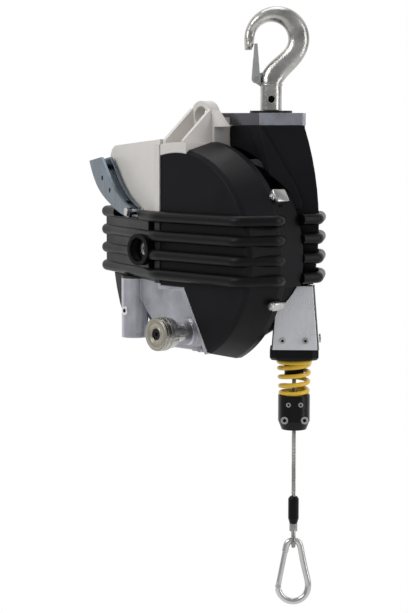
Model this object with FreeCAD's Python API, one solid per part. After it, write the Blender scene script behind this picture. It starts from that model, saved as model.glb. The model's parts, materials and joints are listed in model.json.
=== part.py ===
import FreeCAD, Part
import math
import os

V = FreeCAD.Vector

# Working frame, in mm: the drum turns about the Y axis through (0, 0), the rope and the hook
# lie in the plane y = 0, +X points to the nose and Z is up. Everything is moved at the end so
# that the origin is the bowl of the suspension hook.

# Clearances
FIT = 0.05          # radial clearance of running fits
SEAT = 0.3          # gap between curved faces of neighbouring pieces
SCREW_PLAY = 0.25   # radial clearance round screws

# Wire rope
ROPE_R = 2.5
ROPE_X = 85.5       # the rope hangs this far in front of the drum axis

# Suspension hook
HOOK_X = 45.5
BOWL_Z = 266.0      # where the hanging ring sits in the hook
BOWL_R = 19.4
HOOK_YAW = 48.0     # the swivel's rest angle
HOOK_OUT_R = 37.4
HOOK_OUT_SHIFT = 6.4
HOOK_HALF_T = 9.5
HOOK_TIP_HALF = 4.0
HOOK_TIP_DROP = 12.5
SHANK_R = 12.4
SHANK_TOP = 196.0
SHANK_HOLE_R = 4.0
SHANK_HOLE_Z = 177.6
STEM_R = 9.0
LATCH_PIN_R = 2.5
LATCH_PIN_U = -17.6
LATCH_PIN_Z = 201.0
LATCH_T = 2.0
LATCH_LUG_HALF_T = 4.0
LATCH_LUG_R = 5.0

# Top beam and the hook's bearing below it
BEAM_TOP = 162.0
BEAM_T = 14.0
BEAM_HALF_W = 35.0
BEAM_TIP_X = 97.5
BEAM_BACK_X = -62.0
WASHER_R = 24.5
WASHER_T = 3.0
THRUST_R = 17.0
THRUST_T = 8.0
NUT_FLAT = 30.0
NUT_T = 16.0
NUT_PIN_R = 2.0

# Drum and spring train
SHAFT_R = 10.0
BEARING_R = 21.0
BEARING_W = 10.0
DRUM_HALF_W = 22.0
DRUM_BACK = 10.0      # the drum's rear edge, just behind the hanging rope
DRUM_WALL = 6.0
DRUM_TAPER = 0.28    # change of radius per mm of width
FLANGE_LIP = 4.0
COIL_PITCH = 6.0
COIL_TURNS = 3.25
BARREL_R = 98.0
BARREL_WALL = 3.0
BARREL_FRONT = -70.0
BARREL_BACK = -27.0
BARREL_COVER_T = 2.5
HUB_R = 22.0
SPRING_STRIP_T = 1.2
SPRING_TURNS = 9.0
LOCK_HOLES = 8

# Preload gears
ADJUST_X = -56.0
ADJUST_Z = 4.0
PINION_TEETH = 20
WHEEL_TEETH = 28
GEAR_FRONT = -81.0
GEAR_W = 6.0
BACKLASH = 0.35
ADJUST_STEM_R = 7.0
ADJUST_HEAD_R = 11.5
ADJUST_FACE = -104.0

# Housing round the drum
HOUSE_R = 108.0
HOUSE_WALL = 5.0
HOUSE_BACK = 21.0
HOUSE_TAPER_Y = -14.0
HOUSE_END_R = 97.0   # the housing narrows to this radius at its back
REAR_Y = 36.3       # front face of the frame's rear wall
REAR_WALL = 6.0
STRAP_R = 125.0
STRAP_FRONT = -54.0
STRAP_BACK = -26.0
STRAP_FROM_DEG = -15.0
STRAP_TO_DEG = 36.0

# Nose
NOSE_ARC_R = 273.0
NOSE_TIP_X = 124.0
NOSE_ARC_Z = 35.0
NOSE_HALF_W = 35.0
NOSE_WALL = 4.0
NOSE_BACK_X = 4.0
NOSE_BOTTOM = -32.0

# Spring-side casting and its cover
FACE_Y = -105.0
FLANGE_FRONT = -65.0
FLANGE_T = 8.0
FLANGE_R = 128.0
COVER_FACE_R = 117.0
COVER_EDGE_R = 121.0
COVER_BACK_R = 130.0
COVER_WALL = 4.0
COVER_EDGE_X = -29.0
TRAIN_R = 101.5      # free radius round the spring barrel
CAST_WALL = 4.5
WEB_Y = -84.0
WEB_T = 7.0
HOOD_SLANT = 17.0
HOOD_DEPTH = 50.0
RIM_TOP_R = 129.0
RIM_END_X = 16.0
BEAD_W = 9.0         # width of the raised bead beside the cover
BEAD_H = 1.2
CAST_LOW = -114.0    # lowest edge of the casting
TAB_TOP = -104.0     # top of the flat tab below the cover
TAB_END_X = 52.0
TAB_T = 3.5
NOTCH_TOP = (11.5, -36.0)
NOTCH_LOW = (47.0, -99.0)

# Safety lug on the casting
LUG_X = -9.0
LUG_Z = 159.0
LUG_BORE_R = 10.5
LUG_R = 17.0
LUG_FRONT = -60.0
LUG_BACK = -45.0
LUG_END_X = 14.0
PANEL_H = 5.0        # how far the nose's panel stands proud
GUSSET_T = 5.0
GUSSET_SPAN = 32.0

# Tube socket under the hood
SOCKET_X = -105.0
SOCKET_Y = -80.0
SOCKET_R = 16.0
SOCKET_WALL = 4.0
SOCKET_BOTTOM = -105.0
SOCKET_TOP = -31.0

# Screws
SCREW_R = 3.0
DRUM_BOLTS = 6
DRUM_BOLT_PCR = 74.0
FRAME_BOLT = (9.0, 151.0)
RIM_BOLTS = ((4.0, -110.3), (18.0, -110.3))
JOINT_LUG_DEG = (31.5, -33.0)
JOINT_LUG_H = 9.0
CLAMP_SCREWS = ((-7.0, -172.0, 1.6), (7.0, -172.0, 1.6), (-11.5, -190.0, 2.4), (11.5, -190.0, 2.4))

# Locking plunger
LOCK_X = -2.0
LOCK_Z = -89.0
LOCK_PIN_R = 5.0
LOCK_STROKE = 5.5
LOCK_BOSS_R = 16.0
LOCK_BOSS_L = 8.0
LOCK_NECK_R = 11.0
LOCK_KNOB_R = 19.0

# Lock lever
LEVER_S = 53.0
LEVER_Z = 46.4
LEVER_HEEL_R = 6.5
LEVER_PIN_R = 3.5
BLADE_T = 3.5
BLADE_NEAR = 4.0     # gap between the hood's face and the rear blade
BLADE_GAP = 8.0

# Rubber rings
RING_Z = (43.0, 21.0, -1.0, -23.0)
RING_HALF_H = 6.5
RING_HALF_D = 6.2
RING_BLOCK_D = 8.5   # depth of the solid block that joins the rings on the slanted side
RELIEF_Z = 39.0      # top of the rings below the lever

# Rope guide
GUIDE_TOP = -34.0
GUIDE_TOP_HALF = 29.0
GUIDE_HALF = 37.0    # half of the guide's diagonal at its foot
GUIDE_WALL = 4.0
GUIDE_PLATE_T = 2.4
BLOCK_TOP = -107.0
BLOCK_T = 12.0
BLOCK_HALF = 39.5
BUSH_BORE_R = 4.5
BUSH_R = 12.0

# Rope end
CLAMP_TOP = -162.0
CLAMP_H = 40.0
CLAMP_R = 18.4
CLAMP_SPLIT = 0.8
BUFFER_TOP_R = 18.0
BUFFER_LOW_R = 15.0
BUFFER_WIRE_R = 2.6
BUFFER_TURNS = 5.0
SLEEVE_TOP = -281.5
SLEEVE_H = 32.0
SLEEVE_R = 6.2
FERRULE_H = 9.0
EYE_BAR_Z = -334.0   # height of the bar that hangs in the rope's eye
BAR_R = 3.8
SNAP_H = 80.0
SNAP_HALF_W = 21.2


def cyl(r, a, b, axis="z", at=(0.0, 0.0)):
    """A cylinder from a to b along one axis; at gives the other two coordinates in order."""
    spots = {
        "x": (V(a, at[0], at[1]), V(1, 0, 0)),
        "y": (V(at[0], a, at[1]), V(0, 1, 0)),
        "z": (V(at[0], at[1], a), V(0, 0, 1)),
    }
    base, way = spots[axis]
    return Part.makeCylinder(r, b - a, base, way)


def tube(r_out, r_in, a, b, axis="z", at=(0.0, 0.0)):
    return cyl(r_out, a, b, axis, at).cut(cyl(r_in, a - 1, b + 1, axis, at))


def box(x0, x1, y0, y1, z0, z1):
    return Part.makeBox(x1 - x0, y1 - y0, z1 - z0, V(x0, y0, z0))


def prism(points, way):
    """A closed polygon of 3-D points pushed along a vector."""
    loop = Part.makePolygon(list(points) + [points[0]])
    return Part.Face(loop).extrude(way)


def plan_prism(points, z0, z1):
    return prism([V(x, y, z0) for x, y in points], V(0, 0, z1 - z0))


def side_prism(points, y0, y1):
    return prism([V(x, y0, z) for x, z in points], V(0, y1 - y0, 0))


def revolve_y(points, degrees=360.0):
    """Turns a profile of (radius, y) pairs about the drum axis."""
    loop = Part.makePolygon([V(r, y, 0) for r, y in points + points[:1]])
    return Part.Face(loop).revolve(V(0, 0, 0), V(0, 1, 0), degrees)


def join(*solids):
    whole = solids[0].multiFuse(list(solids[1:]))
    return whole.removeSplitter()


def turned(shape, degrees, at, axis=V(0, 0, 1)):
    copy = shape.copy()
    copy.rotate(at, axis, degrees)
    return copy


def turned_z(shape, degrees, x=0.0, y=0.0):
    return turned(shape, degrees, V(x, y, 0))


def hexagon(flat, a, b, at, axis="z"):
    """A six-sided prism with the given width across flats."""
    r = flat / math.sqrt(3.0)
    ring = [(r * math.cos(math.radians(60 * i)), r * math.sin(math.radians(60 * i))) for i in range(6)]
    if axis == "z":
        return plan_prism([(at[0] + p, at[1] + q) for p, q in ring], a, b)
    return side_prism([(at[0] + p, at[1] + q) for p, q in ring], a, b)


def disc_wire(r, centre, normal):
    return Part.Wire([Part.makeCircle(r, centre, normal)])


def line(a, b):
    return Part.makeLine(a, b)


def arc(a, mid, b):
    return Part.Arc(a, mid, b).toShape()


# Hook: a loft of ovals round the bowl, drawn in its own plane (u across, z up), then turned

def hook_point(degrees):
    """Inner and outer surface of the bowl at one angle, as distances from the bowl's centre."""
    a = math.radians(degrees)
    far = HOOK_OUT_SHIFT * math.cos(a)
    far += math.sqrt(HOOK_OUT_R ** 2 - (HOOK_OUT_SHIFT * math.sin(a)) ** 2)
    return BOWL_R, far


def oval_wire(centre, half_in, half_out, along):
    """An oval section square to the direction along, which lies in the plane y = 0."""
    side = V(along.z, 0, -along.x)
    pole = V(0, 1, 0)
    if half_in >= half_out:
        curve = Part.Ellipse(centre + side * half_in, centre + pole * half_out, centre)
    else:
        curve = Part.Ellipse(centre + pole * half_out, centre + side * half_in, centre)
    return Part.Wire([curve.toShape()])


def bowl_centre():
    return V(0, 0, BOWL_Z - BOWL_R)


def hook_sections():
    rings = [oval_wire(V(0, 0, SHANK_TOP), SHANK_R, SHANK_R - 0.05, V(0, 0, 1))]
    rings.append(oval_wire(V(2.5, 0, SHANK_TOP + 8), SHANK_R + 0.8, SHANK_R - 1.5, V(0.35, 0, 0.94)))
    rings.append(oval_wire(V(14.0, 0, SHANK_TOP + 21), SHANK_R, HOOK_HALF_T, V(0.7, 0, 0.71)))
    for degrees in range(-25, 181, 25):
        near, far = hook_point(degrees)
        a = math.radians(degrees)
        out = V(math.cos(a), 0, math.sin(a))
        half = (far - near) / 2
        slim = HOOK_HALF_T if degrees < 150 else HOOK_HALF_T - 2.5
        rings.append(oval_wire(bowl_centre() + out * (near + half), half, slim, V(-out.z, 0, out.x)))
    rings.append(oval_wire(tip_centre(), HOOK_TIP_HALF, HOOK_HALF_T - 3.5, V(0, 0, -1)))
    return rings


def tip_centre():
    """Middle of the hook's tip, which points straight down."""
    return bowl_centre() + V(-BOWL_R - 3.2 - HOOK_TIP_HALF, 0, -HOOK_TIP_DROP)


def in_hook_plane(shape):
    return turned_z(shape.translated(V(HOOK_X, 0, 0)), HOOK_YAW, HOOK_X, 0.0)


def beam_underside():
    return BEAM_TOP - BEAM_T


def nut_bottom():
    return beam_underside() - THRUST_T - NUT_T


def hook_body():
    bowl = Part.makeLoft(hook_sections(), True, False)
    shank = cyl(SHANK_R, BEAM_TOP + WASHER_T, SHANK_TOP + 0.5)
    stem = cyl(STEM_R, nut_bottom(), BEAM_TOP + WASHER_T + 1)
    lug = cyl(LATCH_LUG_R, -LATCH_LUG_HALF_T, LATCH_LUG_HALF_T, "y", (LATCH_PIN_U, LATCH_PIN_Z))
    bridge = side_prism([
        (LATCH_PIN_U, LATCH_PIN_Z - LATCH_LUG_R), (0, SHANK_TOP - 12), (4, SHANK_TOP + 14),
        (LATCH_PIN_U + 9, LATCH_PIN_Z + LATCH_LUG_R + 3), (LATCH_PIN_U, LATCH_PIN_Z + LATCH_LUG_R),
    ], -LATCH_LUG_HALF_T, LATCH_LUG_HALF_T)
    body = bowl.multiFuse([shank, stem, lug, bridge])
    body = body.cut(cyl(SHANK_HOLE_R, -SHANK_R - 2, SHANK_R + 2, "y", (0, SHANK_HOLE_Z)))
    body = body.cut(cyl(LATCH_PIN_R + FIT, -20, 20, "y", (LATCH_PIN_U, LATCH_PIN_Z)))
    pin_z = nut_bottom() + NUT_T / 2
    return body.cut(cyl(NUT_PIN_R, -20, 20, "x", (0, pin_z)))


def latch_outline():
    """Side view of the latch from its pin up to the hook's tip."""
    tip = bowl_centre() + V(-BOWL_R - 0.9, 0, -HOOK_TIP_DROP - 1)
    foot = V(LATCH_PIN_U, 0, LATCH_PIN_Z)
    way = (tip - foot).normalize()
    side = V(way.z, 0, -way.x)
    ends = [foot + side * LATCH_LUG_R, tip + side * 5.0 + way * 8, tip + side * 1.5 + way * 8, foot - side * LATCH_LUG_R]
    return foot, way, side, [(p.x, p.z) for p in ends]


def hook_latch():
    foot, way, side, outline = latch_outline()
    half = LATCH_LUG_HALF_T + SEAT
    spot = (LATCH_PIN_U, LATCH_PIN_Z)
    shell = side_prism(outline, -half - LATCH_T, half + LATCH_T)
    shell = shell.fuse(cyl(LATCH_LUG_R, -half - LATCH_T, half + LATCH_T, "y", spot))
    gap_low = foot - way * 20
    gap_high = foot + way * 13
    gap = [gap_low + side * 20, gap_high + side * 20, gap_high - side * 20, gap_low - side * 20]
    shell = shell.cut(side_prism([(p.x, p.z) for p in gap], -half, half))
    hollow_low = foot + way * 10 + side * 1.0
    hollow_high = foot + way * 24 + side * 1.0
    hollow = [hollow_low, hollow_high, hollow_high - side * 20, hollow_low - side * 20]
    shell = shell.cut(side_prism([(p.x, p.z) for p in hollow], -half, half))
    return shell.cut(cyl(LATCH_PIN_R + FIT, -20, 20, "y", spot))


def latch_pin():
    half = LATCH_LUG_HALF_T + SEAT + LATCH_T
    spot = (LATCH_PIN_U, LATCH_PIN_Z)
    heads = [cyl(LATCH_PIN_R + 1.2, half + SEAT, half + 1.8, "y", spot)]
    heads.append(cyl(LATCH_PIN_R + 1.2, -half - 1.8, -half - SEAT, "y", spot))
    return join(cyl(LATCH_PIN_R, -half - 1, half + 1, "y", spot), *heads)


def hook_nut():
    top = beam_underside() - THRUST_T
    nut = hexagon(NUT_FLAT, top - NUT_T, top, (0.0, 0.0))
    nut = nut.cut(cyl(STEM_R + FIT, top - NUT_T - 1, top + 1))
    return nut.cut(cyl(NUT_PIN_R, -30, 30, "x", (0, top - NUT_T / 2)))


def nut_pin():
    z = nut_bottom() + NUT_T / 2
    return cyl(NUT_PIN_R - FIT, -NUT_FLAT / 2 + 1, NUT_FLAT / 2 - 1, "x", (0, z))


def thrust_bearing():
    top = beam_underside()
    upper = tube(THRUST_R, STEM_R + FIT, top - 3, top)
    lower = tube(THRUST_R, STEM_R + FIT, top - THRUST_T, top - THRUST_T + 3)
    race = tube(THRUST_R - 3, STEM_R + 3, top - THRUST_T + 1, top - 1)
    return join(upper, lower, race)


def hook_washer():
    return tube(WASHER_R, STEM_R + SEAT, BEAM_TOP, BEAM_TOP + WASHER_T - SEAT).translated(V(HOOK_X, 0, 0))


# Frame

def beam_plan(half, tip):
    return [(BEAM_BACK_X, -half), (tip - half, -half), (tip, 0), (tip - half, half), (BEAM_BACK_X, half)]


def rear_wall_front():
    return REAR_Y


def main_frame():
    beam = plan_prism(beam_plan(BEAM_HALF_W, BEAM_TIP_X), beam_underside(), BEAM_TOP)
    back = rear_wall_front()
    wall = side_prism([(-60, BEAM_TOP), (60, BEAM_TOP), (48, -40), (0, -62), (-48, -40)], back, back + REAR_WALL)
    shelf = box(-60, 60, BEAM_HALF_W - 8, back + REAR_WALL, beam_underside(), BEAM_TOP)
    body = join(beam, wall, shelf)
    body = body.cut(cyl(STEM_R + SEAT, beam_underside() - 1, BEAM_TOP + 1).translated(V(HOOK_X, 0, 0)))
    body = body.cut(cyl(SHAFT_R + FIT, back - 1, back + REAR_WALL + 9, "y"))
    return body.cut(cyl(SCREW_R, -BEAM_HALF_W - 1, -BEAM_HALF_W + 14, "y", FRAME_BOLT))


def drum_shaft():
    front = GEAR_FRONT - 4
    shaft = cyl(SHAFT_R, front, rear_wall_front() + REAR_WALL, "y")
    return join(shaft, cyl(SHAFT_R + 4, front - 3, front + 3, "y"))


# Drum, barrel and spring

def drum_radius(y):
    """Radius of the drum's smooth cone, so that the rope on it leaves at ROPE_X where y is 0."""
    return ROPE_X - ROPE_R - SEAT - DRUM_TAPER * y


def rope_drum():
    back = DRUM_BACK
    low = drum_radius(back)
    high = drum_radius(-DRUM_HALF_W)
    lip = ROPE_R * 2 + FLANGE_LIP
    half = DRUM_HALF_W
    web = 5.0
    rim = [
        (high - DRUM_WALL, -half), (high + lip, -half - web), (high + lip, -half), (high, -half),
        (low, back), (low + lip, back), (low + lip, back + web), (low - DRUM_WALL, back + web),
        (low - DRUM_WALL, back), (high - DRUM_WALL, -half + web),
    ]
    disc = tube(high, BEARING_R, -half - web, -half, "y")
    hub = tube(BEARING_R + 6, BEARING_R, -half - web, back + web, "y")
    drum = revolve_y(rim).multiFuse([disc, hub])
    drum = drum.cut(ring_of(DRUM_BOLTS, DRUM_BOLT_PCR, SCREW_R, -half - web - 1, -half + 1))
    holes = [cyl(14, -half - web - 1, -half + 1, "y", spot_on(55, 60 * i)) for i in range(6)]
    return drum.cut(Part.makeCompound(holes))


def spot_on(radius, degrees):
    a = math.radians(degrees)
    return radius * math.cos(a), radius * math.sin(a)


def ring_of(count, pcr, r, a, b, start=0.0):
    """A ring of parallel cylinders about the drum axis."""
    rods = [cyl(r, a, b, "y", spot_on(pcr, start + 360.0 * i / count)) for i in range(count)]
    return Part.makeCompound(rods)


def bearings(spots):
    """Ball bearings as plain rings, each with a shallow groove between its races."""
    rings = []
    for y in spots:
        ring = tube(BEARING_R, SHAFT_R + FIT, y, y + BEARING_W, "y")
        for face in (y - 1, y + BEARING_W - 1):
            ring = ring.cut(tube(BEARING_R - 3, SHAFT_R + 4, face, face + 2, "y"))
        rings.append(ring)
    return Part.makeCompound(rings)


def rope_coil():
    """The wound rope: a rising spiral on the cone that ends where the rope hangs free."""
    width = COIL_PITCH * COIL_TURNS
    first = ROPE_X + DRUM_TAPER * width
    steps = int(COIL_TURNS * 12)
    points = []
    for i in range(steps + 1):
        a = 2 * math.pi * COIL_TURNS * i / steps
        r = ROPE_X + (first - ROPE_X) * i / steps
        points.append(V(r * math.cos(a), -width * i / steps, r * math.sin(a)))
    curve = Part.BSplineCurve()
    curve.interpolate(points)
    path = Part.Wire([curve.toShape()])
    return path.makePipeShell([disc_wire(ROPE_R, points[0], curve.tangent(0.0)[0])], True, False)


def spring_barrel():
    floor = BARREL_BACK
    wall = tube(BARREL_R, BARREL_R - BARREL_WALL, BARREL_FRONT, floor, "y")
    base = tube(BARREL_R, BEARING_R + 6 + SEAT, floor - 4, floor, "y")
    body = join(wall, base)
    return body.cut(ring_of(DRUM_BOLTS, DRUM_BOLT_PCR, SCREW_R, floor - 9, floor + 1))


def drum_bolts():
    bolts = []
    spacer_back = -DRUM_HALF_W
    for i in range(DRUM_BOLTS):
        spot = spot_on(DRUM_BOLT_PCR, 360.0 * i / DRUM_BOLTS)
        stem = cyl(SCREW_R - FIT, BARREL_BACK - 4, spacer_back, "y", spot)
        bolts.append(join(stem, cyl(SCREW_R * 1.8, BARREL_BACK - 7, BARREL_BACK - 4, "y", spot)))
    return Part.makeCompound(bolts)


def barrel_cover():
    back = BARREL_FRONT
    cover = tube(BARREL_R, HUB_R + 3, back - BARREL_COVER_T, back, "y")
    holes = ring_of(LOCK_HOLES, lock_radius(), LOCK_PIN_R + SEAT, back - 5, back + 1, lock_angle())
    return cover.cut(holes)


def lock_radius():
    return math.hypot(LOCK_X, LOCK_Z)


def lock_angle():
    return math.degrees(math.atan2(LOCK_Z, LOCK_X))


def spiral_points(r0, r1, turns, shift):
    steps = int(turns * 16)
    points = []
    for i in range(steps + 1):
        a = 2 * math.pi * turns * i / steps
        r = r0 + (r1 - r0) * i / steps + shift
        points.append(V(r * math.cos(a), 0, r * math.sin(a)))
    return points


def mainspring():
    """A flat coiled strip from the winding hub to the barrel's wall."""
    r0 = HUB_R + SPRING_STRIP_T / 2 + 0.2
    r1 = BARREL_R - BARREL_WALL - SPRING_STRIP_T / 2 - 0.2
    front = BARREL_FRONT + 2
    length = BARREL_BACK - 9 - front
    edges = []
    ends = []
    for shift in (-SPRING_STRIP_T / 2, SPRING_STRIP_T / 2):
        curve = Part.BSplineCurve()
        points = spiral_points(r0, r1, SPRING_TURNS, shift)
        curve.interpolate(points)
        edges.append(curve.toShape())
        ends.append((points[0], points[-1]))
    caps = [line(ends[0][0], ends[1][0]), line(ends[0][1], ends[1][1])]
    face = Part.Face(Part.Wire(Part.__sortEdges__([edges[0], caps[1], edges[1], caps[0]])))
    return face.extrude(V(0, length, 0)).translated(V(0, front, 0))


# Preload gears

def gear_radius(teeth):
    """Pitch radius when a pinion and a wheel share the distance between their axes."""
    return math.hypot(ADJUST_X, ADJUST_Z) * teeth / (PINION_TEETH + WHEEL_TEETH)


def gear(teeth, turn):
    """A spur gear with straight-flanked teeth about the Y axis; turn is its phase in teeth."""
    pitch = gear_radius(teeth)
    module = 2 * pitch / teeth
    root = pitch - 1.25 * module
    tip = pitch + 0.95 * module
    points = []
    half = (math.pi * module / 4 - BACKLASH / 2) / pitch
    for i in range(teeth):
        mid = 2 * math.pi * (i + turn) / teeth
        for r, spread in ((root, 1.55), (pitch, 1.0), (tip, 0.45), (tip, -0.45), (pitch, -1.0), (root, -1.55)):
            a = mid - half * spread
            points.append((r * math.cos(a), r * math.sin(a)))
    return side_prism(points, GEAR_FRONT, GEAR_FRONT + GEAR_W)


def winding_hub():
    lean = math.degrees(math.atan2(ADJUST_Z, ADJUST_X))
    wheel = turned(gear(WHEEL_TEETH, 0.0), -lean, V(0, 0, 0), V(0, 1, 0))
    hub = cyl(HUB_R, GEAR_FRONT + 1, BARREL_BACK - 6, "y")
    return join(wheel, hub).cut(cyl(SHAFT_R + FIT, GEAR_FRONT - 5, 0, "y"))


def adjust_pinion():
    lean = math.degrees(math.atan2(ADJUST_Z, ADJUST_X))
    small = turned(gear(PINION_TEETH, 0.5), -lean, V(0, 0, 0), V(0, 1, 0)).translated(V(ADJUST_X, 0, ADJUST_Z))
    return small.cut(cyl(ADJUST_STEM_R + FIT, GEAR_FRONT - 1, 0, "y", (ADJUST_X, ADJUST_Z)))


def adjust_screw():
    spot = (ADJUST_X, ADJUST_Z)
    stem = cyl(ADJUST_STEM_R, ADJUST_FACE + 4, GEAR_FRONT + GEAR_W + 1.5, "y", spot)
    head = cyl(ADJUST_HEAD_R, ADJUST_FACE, ADJUST_FACE + 5, "y", spot)
    socket = hexagon(10.0, ADJUST_FACE - 1, ADJUST_FACE + 4, spot, "y")
    return join(stem, head).cut(socket)


# Housing round the drum

def sector(r, from_deg, to_deg, y0, y1):
    """A pie slice about the drum axis, big enough to cut with."""
    steps = 12
    points = [(0.0, 0.0)]
    for i in range(steps + 1):
        a = math.radians(from_deg + (to_deg - from_deg) * i / steps)
        points.append((r * math.cos(a), r * math.sin(a)))
    return side_prism(points, y0, y1)


def strap_ring(grow=0.0):
    ring = tube(STRAP_R + grow, HOUSE_R - 2, STRAP_FRONT - grow, STRAP_BACK + grow, "y")
    return ring.common(sector(3 * STRAP_R, STRAP_FROM_DEG, STRAP_TO_DEG, STRAP_FRONT - 2, STRAP_BACK + 2))


def housing_front():
    return FLANGE_FRONT + FLANGE_T + SEAT


def drum_housing():
    inner = SHAFT_R + 14
    shell = revolve_y([
        (HOUSE_R, housing_front()), (HOUSE_R, HOUSE_TAPER_Y), (HOUSE_END_R, HOUSE_BACK), (inner, HOUSE_BACK),
        (inner, HOUSE_BACK - HOUSE_WALL), (HOUSE_END_R - HOUSE_WALL, HOUSE_BACK - HOUSE_WALL),
        (HOUSE_R - HOUSE_WALL, HOUSE_TAPER_Y), (HOUSE_R - HOUSE_WALL, housing_front()),
    ])
    boss = tube(inner + 8, inner, HOUSE_BACK - 1, REAR_Y - SEAT, "y")
    body = join(shell, boss, strap_ring())
    rope_way = box(ROPE_X - 14, ROPE_X + 14, -14, 14, -HOUSE_R - 10, -30)
    return body.cut(rope_way)


# Nose: a prow with flanks at 45 degrees whose front edge follows one arc

def nose_plan(half, tip, back):
    return [(back, -half), (tip - half, -half), (tip, 0), (tip - half, half), (back, half)]


def nose_form(inset):
    """The prow's outer shape, shrunk by inset for its hollow."""
    tall = beam_underside() - SEAT - (inset if inset > 1 else 0)
    low = NOSE_BOTTOM - (5 if inset > 1 else 0)
    half = NOSE_HALF_W - inset
    steps = 10
    wires = []
    for i in range(steps + 1):
        z = low + (tall - low) * i / steps
        reach = NOSE_ARC_R ** 2 - (z - NOSE_ARC_Z) ** 2
        tip = NOSE_TIP_X - NOSE_ARC_R + math.sqrt(reach) - inset * 1.4
        plan = nose_plan(half, tip, NOSE_BACK_X + inset)
        ring = [V(x, y, z) for x, y in plan]
        wires.append(Part.makePolygon(ring + ring[:1]))
    return Part.makeLoft(wires, True, True)


def nose_panel():
    """The raised panel that runs down the nose's spring-side corner to the strap."""
    left = [(7, beam_underside() - SEAT), (30, 86), (43, 62), (46, 54)]
    right = [(67, 54), (68, 62), (59, 84), (22, beam_underside() - SEAT)]
    across = V(1, 1, 0).normalize()
    way = V(1, -1, 0).normalize()
    outline = [across * w + way * 25 + V(0, 0, z) for w, z in left + right]
    return nose_form(-PANEL_H).common(prism(outline, way * 220)).cut(nose_form(0.5))


def nose_shell():
    shell = nose_form(0.0).cut(nose_form(NOSE_WALL)).fuse(nose_panel())
    shell = shell.cut(cyl(HOUSE_R + SEAT, -NOSE_HALF_W - 5, NOSE_HALF_W + 5, "y"))
    shell = shell.cut(cyl(THRUST_R + 2, 100, BEAM_TOP).translated(V(HOOK_X, 0, 0)))
    keep_out = tube(STRAP_R + SEAT, HOUSE_R - 5, -NOSE_HALF_W - 5, STRAP_BACK + SEAT, "y")
    return shell.cut(keep_out)


def nose_half(side):
    """One half of the prow; side is -1 for the spring side and 1 for the other."""
    span = sorted((side * SEAT / 2, side * (NOSE_HALF_W + 5)))
    return nose_shell().common(box(-20, NOSE_TIP_X + 20, span[0], span[1], -80, BEAM_TOP))


def joint_spots():
    """Angle and foot radius of the two joints: on the strap's upper end and on the housing."""
    return zip(JOINT_LUG_DEG, (STRAP_R, HOUSE_R))


def joint_lugs():
    """Two metal blocks, each with a cross screw, that pull the housing and the nose together."""
    feet = []
    for degrees, r in joint_spots():
        foot = box(r + SEAT, r + JOINT_LUG_H, STRAP_FRONT + 2, STRAP_BACK - 8, -6.5, 6.5)
        foot = foot.cut(cyl(SCREW_R, STRAP_FRONT - 5, STRAP_BACK, "y", (r + JOINT_LUG_H / 2, 0)))
        feet.append(turned(foot, -degrees, V(0, 0, 0), V(0, 1, 0)))
    return Part.makeCompound(feet)


def joint_screws():
    screws = []
    for degrees, r in joint_spots():
        spot = (r + JOINT_LUG_H / 2, 0)
        stem = cyl(SCREW_R - FIT, STRAP_FRONT + 1, STRAP_BACK - 8.5, "y", spot)
        head = cyl(SCREW_R * 1.4, STRAP_FRONT - 2, STRAP_FRONT + 2 - FIT, "y", spot)
        screws.append(turned(join(stem, head), -degrees, V(0, 0, 0), V(0, 1, 0)))
    return Part.makeCompound(screws)


# Casting on the spring side

def hood_out():
    a = math.radians(HOOD_SLANT)
    return V(-math.sin(a), -math.cos(a), 0)


def hood_along():
    a = math.radians(HOOD_SLANT)
    return V(-math.cos(a), math.sin(a), 0)


def hood_point(s, z, out=0.0):
    """A point by its distance along the hood's face, its height and its distance off the face."""
    spot = V(COVER_EDGE_X, FACE_Y, z) + hood_along() * s + hood_out() * out
    return spot


def hood_outline(inset):
    i = inset
    return [
        (-8, 133 - i), (0, 132 - i), (136, 123 - i), (147 - i, 118 - i), (153 - i, 108), (150 - i, 98),
        (140 - i, 92), (124 - i, 72), (124 - i, 38 - i), (150 - i, 38 - i), (150 - i, -31 + i), (-8, -34 + i),
    ]


def hood():
    outer = prism([hood_point(s, z) for s, z in hood_outline(0)], hood_out() * -HOOD_DEPTH)
    inner = prism([hood_point(s, z, -CAST_WALL) for s, z in hood_outline(CAST_WALL)], hood_out() * -HOOD_DEPTH)
    shell = outer.cut(inner)
    return shell.cut(box(COVER_EDGE_X, 50, -200, 0, -200, 200))


def corner_wall():
    """The upright wall where the hood meets the black cover."""
    x = COVER_EDGE_X
    wall = box(x - CAST_WALL, x, FACE_Y, FLANGE_FRONT, -34, 130)
    outline = [(-20, -60), (40, -60), (40, 160), (-20, 160)]
    return wall.cut(prism([hood_point(s, z) for s, z in outline], hood_out() * 20))


def notch_line():
    return V(NOTCH_TOP[0], 0, NOTCH_TOP[1]), V(NOTCH_LOW[0], 0, NOTCH_LOW[1])


def cover_cut(shift, back=FLANGE_FRONT + 2):
    """The region left of the cover's edge, moved to the right by shift."""
    top, low = notch_line()
    way = (low - top) * 0.6
    foot = low + way
    edge = [(COVER_EDGE_X + shift, 200), (COVER_EDGE_X + shift, NOTCH_TOP[1] + shift)]
    edge += [(NOTCH_TOP[0] + shift, NOTCH_TOP[1] + shift), (foot.x + shift, foot.z)]
    outline = edge + [(-250, foot.z), (-250, 200)]
    return side_prism(outline, FACE_Y - 20, back)


def notch_wall():
    ring = cover_cut(0.0).cut(cover_cut(-CAST_WALL))
    ring = ring.common(box(-60, 80, FACE_Y, FLANGE_FRONT, -130, NOTCH_TOP[1] + 2))
    return ring.common(cyl(COVER_EDGE_R - 1, FACE_Y - 1, FLANGE_FRONT + 1, "y"))


def low_web():
    """The upright wall low on the left that carries the plunger."""
    disc = cyl(TRAIN_R + CAST_WALL, WEB_Y, WEB_Y + WEB_T, "y")
    skirt = tube(TRAIN_R + CAST_WALL, TRAIN_R, WEB_Y, FLANGE_FRONT + 1, "y")
    zone = cover_cut(0.0).common(box(-200, 100, -200, 0, -200, -30))
    return disc.fuse(skirt).common(zone)


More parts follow.
